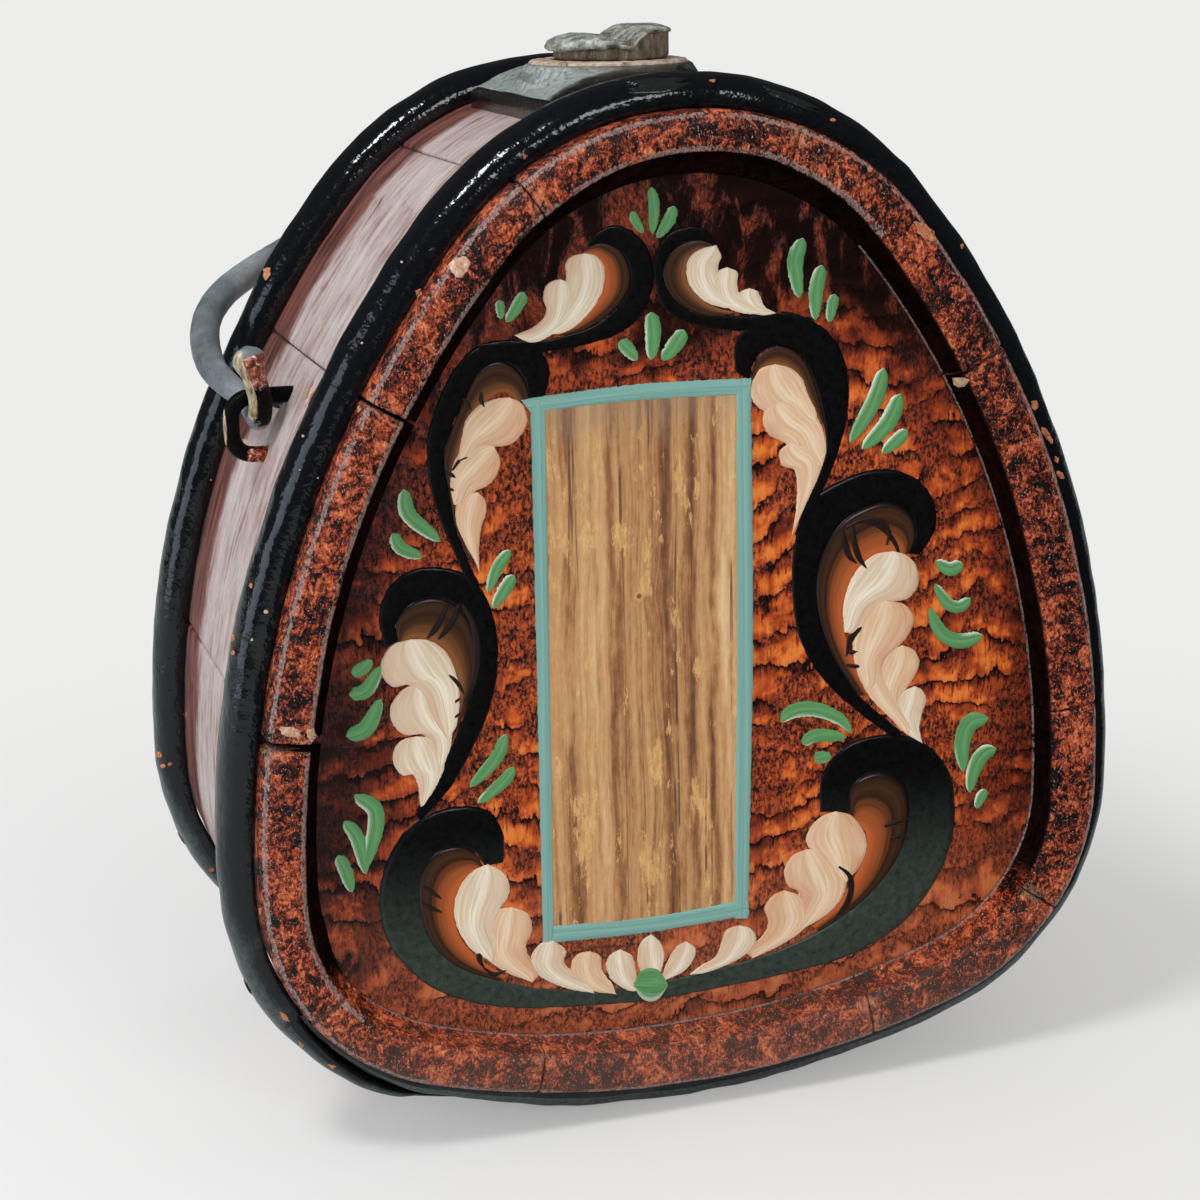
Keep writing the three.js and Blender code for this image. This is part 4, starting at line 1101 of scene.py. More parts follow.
for number, (outer, inner) in enumerate(SCROLLS):
    lay("black", outer, inner, SCROLL_LEVEL, thick=0.12, across=10, along=90, fray=0.5, seed=number)

# The fill between each scroll and its lobes: outer rail, then inner rail.
FILLS = [
    ([(588, 247), (602, 243), (620, 250), (629, 266), (630, 284), (621, 302), (604, 318), (584, 330),
      (560, 336)],
     [(580, 256), (592, 256), (601, 264), (604, 276), (602, 292), (592, 306), (580, 318), (570, 326),
      (556, 334)]),
    ([(712, 244), (700, 240), (684, 243), (670, 254), (663, 270), (667, 288), (680, 304), (700, 314),
      (722, 316)],
     [(706, 249), (698, 252), (690, 259), (686, 268), (687, 280), (694, 292), (706, 302), (718, 308),
      (734, 312)]),
    ([(530, 400), (524, 380), (512, 366), (496, 361), (478, 372), (465, 398), (452, 428), (444, 458),
      (449, 492), (456, 528), (468, 560)],
     [(516, 402), (512, 396), (504, 392), (496, 394), (486, 402), (474, 416), (466, 434), (458, 458),
      (454, 490), (460, 524), (470, 552)]),
    ([(752, 382), (754, 366), (763, 353), (778, 346), (796, 352), (809, 370), (818, 396), (824, 424)],
     [(756, 378), (760, 370), (768, 366), (778, 366), (790, 372), (799, 382), (808, 402), (820, 422)]),
    ([(398, 642), (396, 622), (408, 606), (430, 598), (450, 602), (467, 618), (475, 644), (475, 674),
      (464, 712), (448, 750)],
     [(402, 644), (406, 640), (414, 638), (424, 640), (436, 646), (446, 656), (454, 670), (459, 688),
      (456, 716), (446, 748)]),
    ([(908, 554), (916, 534), (909, 512), (888, 502), (864, 508), (842, 522), (825, 548), (817, 580),
      (819, 614), (832, 654), (858, 696)],
     [(902, 554), (896, 552), (884, 552), (872, 558), (860, 568), (850, 582), (844, 600), (843, 622),
      (848, 645), (858, 668), (872, 692)]),
    ([(484, 868), (474, 852), (456, 847), (436, 853), (423, 870), (419, 896), (424, 926), (438, 951),
      (462, 969), (500, 981)],
     [(480, 868), (474, 872), (466, 880), (459, 890), (455, 904), (455, 920), (460, 936), (470, 950),
      (484, 962), (506, 976)]),
    ([(850, 812), (851, 788), (864, 776), (884, 772), (903, 783), (909, 806), (905, 838), (890, 869),
      (862, 901), (820, 931)],
     [(858, 822), (862, 828), (866, 834), (867, 842), (866, 852), (862, 862), (856, 874), (848, 888),
      (838, 904), (812, 926)]),
]
BROWN_FILLS = (1, 2, 3, 4)
for number, (outer, inner) in enumerate(FILLS):
    kind = "brown" if number in BROWN_FILLS else "fill"
    lay(kind, outer, inner, FILL_LEVEL, thick=0.10, across=12, along=60, seed=20 + number)

# Cream lobes: closed outlines from the head, and the index of the tail.
LOBES = [
    ([(584, 253), (596, 256), (604, 268), (603, 288), (594, 306), (578, 324), (562, 333), (545, 334),
      (538, 330), (552, 310), (562, 292), (566, 276), (565, 264), (572, 256)], 7),
    ([(560, 279), (568, 283), (576, 296), (574, 312), (560, 328), (542, 340), (528, 342), (514, 335),
      (532, 328), (543, 318), (546, 309), (543, 299), (545, 287), (552, 281)], 7),
    ([(716, 245), (700, 249), (689, 258), (686, 270), (690, 286), (704, 301), (726, 308), (742, 305),
      (728, 292), (719, 277), (718, 265), (721, 256)], 7),
    ([(727, 267), (718, 271), (712, 283), (716, 298), (732, 310), (752, 314), (763, 311), (748, 301),
      (738, 291), (737, 281), (737, 272)], 6),
    ([(749, 288), (740, 292), (736, 301), (746, 311), (762, 315), (776, 313), (765, 307), (761, 299),
      (757, 291)], 5),
    ([(509, 397), (494, 399), (478, 406), (466, 420), (461, 440), (457, 462), (470, 462), (488, 448),
      (508, 445), (521, 435), (527, 420), (522, 404)], 5),
    ([(494, 446), (476, 442), (462, 450), (453, 464), (450, 484), (453, 504), (464, 506), (474, 492),
      (488, 485), (497, 474), (500, 460)], 5),
    ([(478, 492), (464, 494), (456, 505), (456, 522), (464, 542), (474, 560), (479, 572), (479, 548),
      (481, 528), (486, 512), (485, 500)], 6),
    ([(775, 364), (790, 368), (802, 378), (808, 394), (816, 412), (816, 424), (796, 424), (780, 412),
      (764, 411), (753, 401), (751, 385), (760, 369)], 5),
    ([(778, 402), (796, 402), (812, 412), (822, 428), (826, 448), (822, 466), (800, 466), (786, 444),
      (770, 436), (763, 424), (765, 410)], 5),
    ([(789, 443), (806, 444), (822, 452), (821, 468), (812, 490), (801, 514), (792, 534), (796, 508),
      (797, 484), (794, 470), (782, 465), (779, 452)], 6),
    ([(410, 639), (428, 640), (444, 650), (454, 668), (459, 692), (457, 722), (448, 740), (432, 720),
      (420, 695), (406, 684), (394, 687), (383, 678), (381, 662), (392, 645)], 6),
    ([(420, 682), (436, 686), (448, 700), (453, 722), (450, 748), (442, 768), (434, 762), (430, 745),
      (422, 734), (406, 735), (394, 726), (390, 708), (402, 690)], 5),
    ([(416, 736), (430, 738), (441, 748), (444, 766), (436, 786), (424, 804), (420, 806), (418, 786),
      (412, 774), (402, 775), (393, 762), (395, 747), (404, 739)], 5),
    ([(893, 551), (876, 554), (860, 566), (849, 584), (843, 606), (844, 632), (856, 632), (872, 610),
      (890, 602), (908, 598), (918, 584), (916, 566), (906, 555)], 5),
    ([(886, 600), (868, 606), (856, 620), (852, 642), (856, 668), (866, 688), (878, 684), (884, 660),
      (896, 648), (908, 634), (914, 618), (904, 604)], 5),
    ([(902, 645), (888, 652), (878, 668), (874, 688), (880, 702), (894, 714), (900, 706), (904, 692),
      (914, 676), (919, 662), (914, 650)], 5),
    ([(915, 686), (902, 692), (894, 704), (892, 718), (904, 732), (922, 743), (919, 728), (922, 712),
      (926, 700), (922, 690)], 5),
    ([(866, 640), (858, 646), (854, 660), (860, 680), (872, 700), (888, 716), (906, 734), (912, 726),
      (898, 700), (884, 676), (876, 652)], 6),
    ([(488, 864), (474, 870), (460, 886), (454, 908), (458, 930), (472, 950), (492, 962), (498, 945),
      (494, 925), (500, 908), (509, 892), (505, 874)], 6),
    ([(512, 907), (496, 910), (484, 922), (480, 942), (486, 958), (506, 972), (532, 982), (540, 972),
      (530, 958), (526, 945), (532, 930), (528, 914)], 6),
    ([(553, 940), (541, 943), (532, 954), (532, 968), (546, 980), (570, 989), (594, 993), (590, 980),
      (574, 972), (564, 962), (566, 950)], 6),
    ([(590, 951), (578, 954), (571, 964), (574, 978), (590, 990), (616, 994), (612, 984), (602, 970),
      (600, 956)], 5),
    ([(620, 949), (610, 955), (606, 966), (612, 980), (628, 990), (640, 990), (636, 972), (632, 956)], 5),
    ([(836, 811), (822, 816), (810, 828), (806, 842), (816, 856), (830, 872), (846, 882), (858, 868),
      (866, 850), (864, 832), (852, 816)], 6),
    ([(806, 849), (822, 850), (838, 862), (846, 880), (840, 900), (824, 916), (800, 930), (796, 912),
      (798, 892), (788, 886), (784, 870), (792, 856)], 6),
    ([(784, 890), (796, 894), (808, 904), (812, 916), (800, 932), (778, 946), (752, 958), (746, 950),
      (762, 936), (768, 922), (764, 908), (772, 896)], 6),
    ([(739, 925), (750, 928), (756, 938), (750, 950), (732, 962), (706, 972), (690, 974), (700, 966),
      (716, 956), (721, 942), (726, 930)], 6),
    ([(686, 941), (695, 948), (693, 960), (682, 972), (664, 980), (662, 976), (668, 960), (676, 947)], 4),
    ([(651, 934), (660, 942), (664, 956), (660, 972), (652, 982), (642, 974), (637, 958), (641, 942)], 4),
]
PEACHY = {5, 6, 7, 8, 9, 10, 15, 16, 18, 20, 22, 24, 25, 26}
for number, (points, tail) in enumerate(LOBES):
    kind = "peach" if number in PEACHY else "cream"
    level = LOBE_LEVEL + 0.035 * (number % 4)
    comma(kind, points, tail, level, thick=0.22, across=14, along=44, fray=0.25, seed=40 + number)

# Thin dark hairs over the scrolls and lobes.
TICKS = [
    [(463, 398), (467, 404), (471, 410)], [(481, 392), (481, 400), (484, 407)],
    [(452, 470), (460, 460), (470, 457), (478, 458)], [(448, 488), (456, 491), (462, 494)],
    [(446, 472), (452, 475), (456, 478)], [(448, 604), (440, 620), (434, 630), (427, 638)],
    [(458, 604), (454, 618), (446, 630), (438, 639)], [(438, 675), (448, 675), (458, 684), (464, 694)],
    [(460, 698), (452, 703), (442, 707)], [(460, 713), (452, 718), (445, 721)],
    [(843, 530), (844, 542), (849, 556), (856, 563)], [(853, 526), (854, 542), (859, 558), (866, 568)],
    [(860, 520), (872, 519), (884, 524), (889, 534), (886, 545)],
    [(868, 624), (858, 630), (850, 640), (846, 656)], [(846, 652), (852, 652), (857, 651)],
    [(846, 665), (856, 666), (864, 664)], [(424, 886), (432, 892), (441, 898)],
    [(422, 902), (432, 908), (442, 912)], [(492, 940), (484, 946), (479, 958), (484, 968)],
    [(484, 968), (494, 974), (506, 970)], [(838, 866), (848, 874), (851, 888), (846, 904), (834, 918)],
    [(884, 826), (896, 822), (908, 818)], [(890, 838), (900, 836), (908, 836)],
]
BROAD_TICKS = (5, 6, 10, 11, 13, 18, 20)
for number, points in enumerate(TICKS):
    wide = [2.0] + [4.2] * (len(points) - 2) + [1.0]
    if number in BROAD_TICKS:
        wide = [w * 1.35 for w in wide]
    ribbon("tick", points, wide, TICK_LEVEL, thick=0.10, across=6, along=18, seed=80 + number)
# Longer dark arcs inside two of the scrolls.
for points, widths, level in (
    ([(462, 604), (473, 624), (477, 650), (474, 680), (464, 702)], [3, 6, 7, 6, 3], LOBE_LEVEL),
    ([(900, 556), (893, 540), (880, 527), (862, 521), (846, 528)], [2, 5, 5, 4, 2], LOBE_LEVEL + 0.01),
):
    ribbon("tick", points, widths, level, thick=0.08, across=6, along=30)

# Green leaves: spine and greatest width. Their light edge is on rail b.
LEAVES = [
    ([(651, 187), (654, 208), (652, 234)], 12), ([(632, 211), (636, 222), (643, 233)], 10),
    ([(674, 206), (669, 220), (657, 238)], 13), ([(524, 292), (518, 305), (506, 322)], 13),
    ([(500, 300), (500, 308), (501, 319)], 10), ([(651, 312), (653, 332), (651, 360)], 17),
    ([(620, 340), (627, 348), (637, 360)], 15), ([(684, 330), (677, 342), (662, 360)], 17),
    ([(803, 238), (795, 262), (799, 298)], 17), ([(822, 265), (816, 290), (815, 320)], 16),
    ([(835, 294), (832, 306), (829, 322)], 12), ([(884, 368), (874, 400), (850, 442)], 17),
    ([(900, 394), (888, 422), (862, 449)], 18), ([(907, 430), (898, 439), (882, 453)], 14),
    ([(404, 489), (409, 515), (440, 541)], 17), ([(393, 533), (401, 548), (422, 557)], 15),
    ([(510, 550), (497, 568), (488, 592)], 13), ([(514, 575), (504, 590), (493, 608)], 14),
    ([(962, 563), (950, 569), (936, 561)], 15),
    ([(970, 598), (961, 606), (950, 605), (942, 596), (935, 584)], 13),
    ([(982, 635), (962, 641), (945, 636), (936, 624), (930, 608)], 16),
    ([(781, 722), (788, 714), (802, 709), (822, 711), (842, 721), (851, 733)], 16),
    ([(802, 744), (812, 737), (824, 735), (846, 737)], 14), ([(814, 758), (822, 757), (831, 756)], 13),
    ([(351, 672), (360, 670), (372, 660)], 14), ([(349, 695), (366, 690), (381, 666)], 16),
    ([(346, 736), (366, 728), (381, 699)], 18), ([(506, 734), (496, 758), (470, 787)], 14),
    ([(514, 767), (504, 781), (478, 803)], 13), ([(354, 795), (376, 814), (366, 868)], 18),
    ([(344, 821), (357, 838), (366, 874)], 16), ([(338, 855), (345, 870), (352, 892)], 15),
    ([(988, 718), (970, 723), (962, 744), (963, 771)], 18),
    ([(996, 749), (984, 753), (974, 769), (969, 792)], 16), ([(986, 790), (981, 797), (976, 808)], 11),
]
for number, (spine, wide) in enumerate(LEAVES):
    curve = catmull(spine, 15)
    # Full and rounded where the brush was set down, thinning where it was lifted.
    widths = []
    for t in np.linspace(0, 1, len(curve)):
        widths.append(wide * math.sqrt(max(0.01, 1 - abs(2 * t - 1) ** 3.4)) * (1 - 0.34 * t * t))
    seed = 120 + number
    ribbon("green", curve.tolist(), widths, LEAF_LEVEL, thick=0.2, across=12, along=34, fray=0.35, seed=seed)
# A round green dab at the foot of the ornament.
dab = [(633, 984), (641, 984), (650, 984), (659, 984), (667, 984)]
ribbon("green", dab, [3, 27, 34, 27, 3], DAB_LEVEL, thick=0.25, across=10, along=20)

# The frame round the panel, four bands, and the panel itself.
FRAME_BANDS = [
    ([(520, 399), (640, 384), (751, 378)], [(530, 412), (640, 400), (749, 394)]),
    ([(751, 379), (753, 640), (748, 918)], [(736, 379), (737, 640), (734, 918)]),
    ([(552, 943), (650, 932), (749, 915)], [(553, 926), (650, 917), (747, 899)]),
    ([(530, 399), (536, 640), (543, 947)], [(545, 400), (549, 640), (554, 942)]),
]
for number, (rail_a, rail_b) in enumerate(FRAME_BANDS):
    lay("teal", rail_a, rail_b, FRAME_LEVEL, thick=0.30, across=10, along=110, fray=0.35, seed=160 + number)

for kind, (points, faces, uvs) in PAINT.items():
    piece = new_object(f"paint_{kind}", points, faces, PAINT_LOOKS[kind], uv=uvs)
    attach(piece, "keg")

corners = [np.array(on_head(*p)) for p in ((541, 404), (743, 385), (741, 908), (549, 935))]
rows, columns = 60, 24
panel_points = []
for j in range(rows + 1):
    for i in range(columns + 1):
        s, t = i / columns, j / rows
        top = corners[0] * (1 - s) + corners[1] * s
        low = corners[3] * (1 - s) + corners[2] * s
        spot = top * (1 - t) + low * t
        ripple = 0.05 * noise.noise(Vector((spot[0] * 0.5, 0, spot[1] * 0.03)))
        panel_points.append((spot[0], HEAD_Y - 0.08 - abs(ripple), spot[1]))
panel_faces = []
for j in range(rows):
    for i in range(columns):
        q = j * (columns + 1) + i
        panel_faces.append((q, q + columns + 1, q + columns + 2, q + 1))
panel = new_object("bare_panel", panel_points, panel_faces, PANEL)
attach(panel, "keg")

# The front head as one surface: three boards under one coat of paint, their joints only just showing.
HEAD_CENTRE = (0.0, 118.0)
HEAD_JOINTS = [(-41.0, 0.22), (38.0, 0.10)]
head_back = max(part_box("head_front_middle")[1].y / MM, HEAD_Y + 4.0)
HEAD_DEPTH = 12.6
head_edge = []
for angle in even_angles(0, TAU * 239 / 240, HEAD_STEP):
    head_edge.append(outline(angle, -RIM_ROUND - (HEAD_DEPTH - RIM_ROUND) * thickening(angle)))
rings = []
for share in [*np.linspace(0.02, 0.955, 58), 0.985, 1.0]:
    ring = []
    for ex, ez in head_edge:
        x = HEAD_CENTRE[0] + (ex - HEAD_CENTRE[0]) * share
        z = HEAD_CENTRE[1] + (ez - HEAD_CENTRE[1]) * share
        sunk = 0.05 * abs(wobble(x, 0, z, 7, 3)) if share < 1 else 0.0
        for at, deep in HEAD_JOINTS:
            sunk += deep * math.exp(-((x - at - 0.5 * wobble(0, 0, z, 60, 5)) / 0.7) ** 2)
        ring.append((x, HEAD_Y + sunk, z))
    rings.append(ring)
rings.append([(ex, head_back, ez) for ex, ez in head_edge])
points, faces = loft(rings)
front_head = new_object("head_front_dressed", points, faces, GROUND)
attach(front_head, "keg")
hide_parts("head_front_left", "head_front_middle", "head_front_right")

# Nail heads beaten flush with the hoops and painted over with them.
for end in HOOP_Y:
    surface = surface_of(hoops[end])
    for number in (1, 2):
        node = f"hoop_{end}_nail_{number}"
        low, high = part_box(node)
        spot = (low + high) / 2
        away = (spot - Vector((0, spot.y, 0.12))).normalized()
        hit, normal, _, _ = surface.ray_cast(spot + away * 0.05, -away)
        side = normal.cross(Vector((0, 1, 0))).normalized()
        along = side.cross(normal)
        rings = []
        for radius, lift in ((2.3, -0.7), (2.3, 0.02), (1.9, 0.16), (1.3, 0.27), (0.6, 0.32)):
            ring = []
            for a in turns(18):
                c, d = math.cos(a), math.sin(a)
                dent = 0.05 * wobble(radius * c, number, radius * d, 1.6)
                p = hit / MM + (side * c + along * d) * radius + normal * (lift + dent)
                ring.append(tuple(p))
            rings.append(ring)
        points, faces = loft(rings)
        piece = new_object(node + "_dressed", points, faces, HOOP_NAIL)
        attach(piece, "keg")
        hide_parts(node)

# Handle, staples, boss, collar and stopper.
PIVOT_Z = 192.5
SURFACE_X = outline(math.radians(116.94), 0)[0]
BAR = 2.3
ROD = 3.2
ARCH_ROD = 4.2
HOOK_RADIUS = BAR + 0.5 + ROD
HOOK_X = SURFACE_X + 8.77
ARM_X = SURFACE_X + 15.37
LEAN = math.radians(21)
REACH = 115
PASS = 63.85 / math.cos(LEAN)


def rod(path, shape, sides=24, first=(1, 0, 0)):
    """Points, faces, and how far along each point lies, of a bent rod."""
    count = len(path)
    tangents = np.gradient(path, axis=0)
    tangents /= np.linalg.norm(tangents, axis=1)[:, None]
    axis = np.array(first, float)
    rings, places = [], []
    for i in range(count):
        axis = axis - tangents[i] * axis.dot(tangents[i])
        axis /= np.linalg.norm(axis)
        other = np.cross(tangents[i], axis)
        ring = []
        for a in turns(sides):
            wide, deep, lump = shape(i / (count - 1), path[i])
            off = axis * math.cos(a) * wide * lump + other * math.sin(a) * deep * lump
            ring.append(tuple(path[i] + off))
            places.append(i / (count - 1))
        rings.append(ring)
    points, faces = loft(rings)
    return points, faces, places


def handle_point(x, along):
    return (
        x,
        STAVE_MIDDLE + along * math.cos(LEAN) + HOOK_RADIUS * math.sin(LEAN),
        PIVOT_Z + along * math.sin(LEAN) - HOOK_RADIUS * math.cos(LEAN),
    )


def make_handle():
    """An arch over the keg, each end turned under its staple and up again as an open hook."""
    tip_rise = 14.5
    tip_out = 3.3
    # How far from each end the rod stays thin, and where it has its full thickness.
    thin, full = 30, 62
    half = []
    for share in (1, 0.55):
        y = STAVE_MIDDLE - HOOK_RADIUS - 0.4 * share
        half.append((-HOOK_X - tip_out * share, y, PIVOT_Z + tip_rise * share))
    for i in range(6):
        turn = (i / 5) * (math.pi / 2 + LEAN) - math.pi / 2
        y = STAVE_MIDDLE + HOOK_RADIUS * math.sin(turn)
        half.append((-HOOK_X, y, PIVOT_Z - HOOK_RADIUS * math.cos(turn)))
    flare = ARM_X - HOOK_X
    half.append(handle_point(-HOOK_X - 0.09 * flare, 0.088 * PASS))
    half.append(handle_point(-HOOK_X - 0.39 * flare, 0.175 * PASS))
    # The arms run straight up to the bend, then the arch closes over the keg.
    bend = 0.972
    for width, along in ((1, 0.351), (1, 0.57), (0.968, 0.79), (0.908, bend)):
        half.append(handle_point(-ARM_X * width, PASS * along))
    start = PASS * bend
    for width, along in ((0.845, 0.17), (0.74, 0.395), (0.56, 0.715), (0.3, 0.94)):
        half.append(handle_point(-ARM_X * width, start + (REACH - start) * along))
    other_half = [(-x, y, z) for x, y, z in reversed(half)]
    path, length = centripetal(half + [handle_point(0, REACH)] + other_half, 420)

    def shape(share, spot):
        from_end = min(share, 1 - share) * length
        body = ROD + (ARCH_ROD - ROD) * smooth(from_end, thin, full)
        tip = math.sqrt(max(0.02, 1 - max(0.0, 1 - from_end / 4.6) ** 2)) * 0.985
        # Beaten broad at the tip only, so it passes inside the staple's crown when it swings.
        wide = smooth(8.5 - from_end, 0, 5) * 1.5
        lump = 1 - 0.05 * abs(wobble(*spot, 9, 2)) - 0.03 * abs(wobble(*spot, 3, 4))
        return (body + wide) * tip, body * tip, lump
    points, faces, places = rod(path, shape)
    zone = []
    for share, point in zip(places, points):
        from_end = min(share, 1 - share) * length
        on_tip = 1 - smooth(from_end, 17, 22)
        # On the hook: a cream strip outside, worn red-brown facing forward, black lower down.
        outward = abs(point[0]) - HOOK_X - tip_out * (1 - smooth(from_end, 0, 15))
        cream = on_tip * smooth(outward, 0.8, 2.2)
        red = on_tip * smooth(from_end, 0.5, 4.0) * (1 - smooth(from_end, 8, 14))
        black = on_tip * smooth(from_end, 7, 14)
        zone.append((red, cream, black))
    piece = new_object("handle_dressed", points, faces, HANDLE_LOOK, zone=zone)
    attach(piece, "handle")
    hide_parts("handle")


def make_staple(side, name):
    """A rod bent square, both legs driven into the side stave."""
    spacing = 15.5
    corner = 5.4
    lower = PIVOT_Z - spacing
    crown = SURFACE_X + 15.77
    straight = crown - corner
    upper_end = SURFACE_X - 11
    lower_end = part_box(name)[0 if side > 0 else 1].x / MM * side
    points = [(upper_end, PIVOT_Z), ((upper_end + straight) / 2, PIVOT_Z)]
    for centre, start in ((PIVOT_Z - corner, 0.0), (lower + corner, math.pi / 2)):
        for i in range(5):
            turn = start + i / 4 * math.pi / 2
            points.append((straight + corner * math.sin(turn), centre + corner * math.cos(turn)))
    points += [((lower_end + straight) / 2, lower), (lower_end, lower)]
    path, _ = centripetal([(side * x, STAVE_MIDDLE, z) for x, z in points], 150)

    def shape(share, spot):
        lump = 0.985 - 0.09 * abs(wobble(*spot, 5, side * 3)) - 0.05 * abs(wobble(*spot, 1.8, 6))
        return BAR, BAR, lump
    points, faces, _ = rod(path, shape, 20, (0, 1, 0))
    zone = []
    for point in points:
        reach = side * point[0] - SURFACE_X
        edge = smooth(side * point[0], crown + 1.2, crown + 2.1)
        low_leg = smooth(lower + 3.0 - point[2], 0, 2.0) * (1 - smooth(reach, 11, 14))
        zone.append((0.9 * low_leg, 0.8 * edge, 1.0))
    piece = new_object(name + "_dressed", points, faces, HANDLE_LOOK, zone=zone)
    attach(piece, "keg")
    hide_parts(name)


make_handle()
make_staple(-1, "staple_left")
make_staple(1, "staple_right")

BOSS_TOP = 275.1
collar_low, collar_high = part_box("bung_collar")
stopper_low, stopper_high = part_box("stopper")
COLLAR_OUT = 21.5
COLLAR_BORE = 14.05
SEAT_OUT = COLLAR_OUT + 0.3
COLLAR_SEAT = collar_low.z / MM
COLLAR_TOP = collar_high.z / MM


def arc_level(level, radius, x):
    return level - radius + math.sqrt(radius * radius - x * x)


def make_boss():
    """A block hollowed to the staves beneath and rounded over on top, with a seat for the collar."""
    half_x, half_y = 27.6, 45.8
    squareness = 14
    bore = 14.6
    rings = []
    profile = [
        ("round", bore, "under"), ("round", bore, "seat"),
        ("round", SEAT_OUT, "seat"), ("round", SEAT_OUT, "top"),
    ]
    for share in (0.12, 0.28, 0.46, 0.64, 0.80, 0.90, 0.96):
        profile.append(("blend", share, "top"))
    for deep, share in ((0.25, 0.985), (0.9, 0.996), (2.0, 1.0)):
        profile.append(("edge", share, deep))
    profile += [("edge", 1.0, 3.4), ("blend", 1.0, "under"), ("blend", 0.5, "under")]
    for kind, size, level in profile:
        ring = []
        for a in turns(160):
            c, d = math.cos(a), math.sin(a)
            reach = (abs(c / half_x) ** squareness + abs(d / half_y) ** squareness) ** (-1 / squareness)
            r = size if kind == "round" else SEAT_OUT + (reach - SEAT_OUT) * size
            x, y = r * c, r * d
            nick = 0.35 * abs(wobble(x, y, 0, 6, 4)) + 0.25 * abs(wobble(x, y, 0, 19, 9))
            near = 1 - smooth(math.hypot(x, y) - SEAT_OUT, 0.0, 5.2)
            crest = arc_level(BOSS_TOP, 98, x) - 2.2 * smooth(abs(x), 15, half_x)
            crest -= 2.6 * smooth(abs(y), half_y - 15, half_y)
            top = crest + near ** 1.5 * max(0.0, COLLAR_TOP - 1.0 - crest)
            top -= nick * (0.7 if kind == "blend" else 0)
            under = arc_level(STAVE_TOP + 0.2, TOP_RADIUS + 0.2, x)
            if level == "top":
                z = top
            elif level == "under":
                z = under
            elif level == "seat":
                z = COLLAR_SEAT - 0.1
            else:
                z = max(crest - level * 0.8 - nick, under + 0.3)
                x *= 1 - 0.004 * nick
                y *= 1 - 0.002 * nick
            ring.append((x, STAVE_MIDDLE + y, z))
        rings.append(ring)
    points, faces = loft(rings, closed_run=True)
    piece = new_object("bung_boss_dressed", points, faces, BOSS)
    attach(piece, "keg")
    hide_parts("bung_boss")
    return piece


def make_collar():
    """A turned ring, its edges rubbed round."""
    edge, rounding = 1.2, 1.15
    profile = [
        (COLLAR_BORE, COLLAR_SEAT), (COLLAR_OUT - 0.5, COLLAR_SEAT),
        (COLLAR_OUT - 0.05, COLLAR_SEAT + 0.5),
    ]
    for i in range(7):
        turn = i / 6 * math.pi / 2
        out = COLLAR_OUT - edge + rounding * math.cos(turn)
        profile.append((out, COLLAR_TOP - edge + rounding * math.sin(turn)))
    for i in range(1, 8):
        profile.append((COLLAR_OUT - edge - 5.4 * i / 7, COLLAR_TOP - 0.05))
    profile += [(14.4, COLLAR_TOP - 0.1), (COLLAR_BORE, COLLAR_TOP - 0.5)]
    rings = []
    for a in turns(120):
        c, d = math.cos(a), math.sin(a)
        ring = []
        for r, z in profile:
            nick = abs(wobble(r * c, r * d, z, 4, 8)) if z > COLLAR_SEAT + 0.2 else 0.0
            out = r - (0.4 * nick if r > 19 else 0.0)
            down = 0.3 * nick if z > COLLAR_TOP - 1 else 0
            ring.append((out * c, STAVE_MIDDLE + out * d, z - down))
        rings.append(ring)
    points, faces = loft(rings, closed_run=True)
    piece = new_object("bung_collar_dressed", points, faces, COLLAR)
    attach(piece, "keg")
    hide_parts("bung_collar")


# The stopper's cap: its top and its lower edge as they stand against the light.
CAP_TOP = [(544, 49), (548, 42), (560, 36), (580, 32), (595, 33), (603, 38), (612, 38), (620, 29),
           (630, 23), (650, 22), (664, 25), (670, 31)]
CAP_UNDER = [(544, 50), (560, 54), (574, 54), (580, 53), (600, 52), (612, 47), (625, 42), (640, 34),
             (655, 31), (670, 32)]


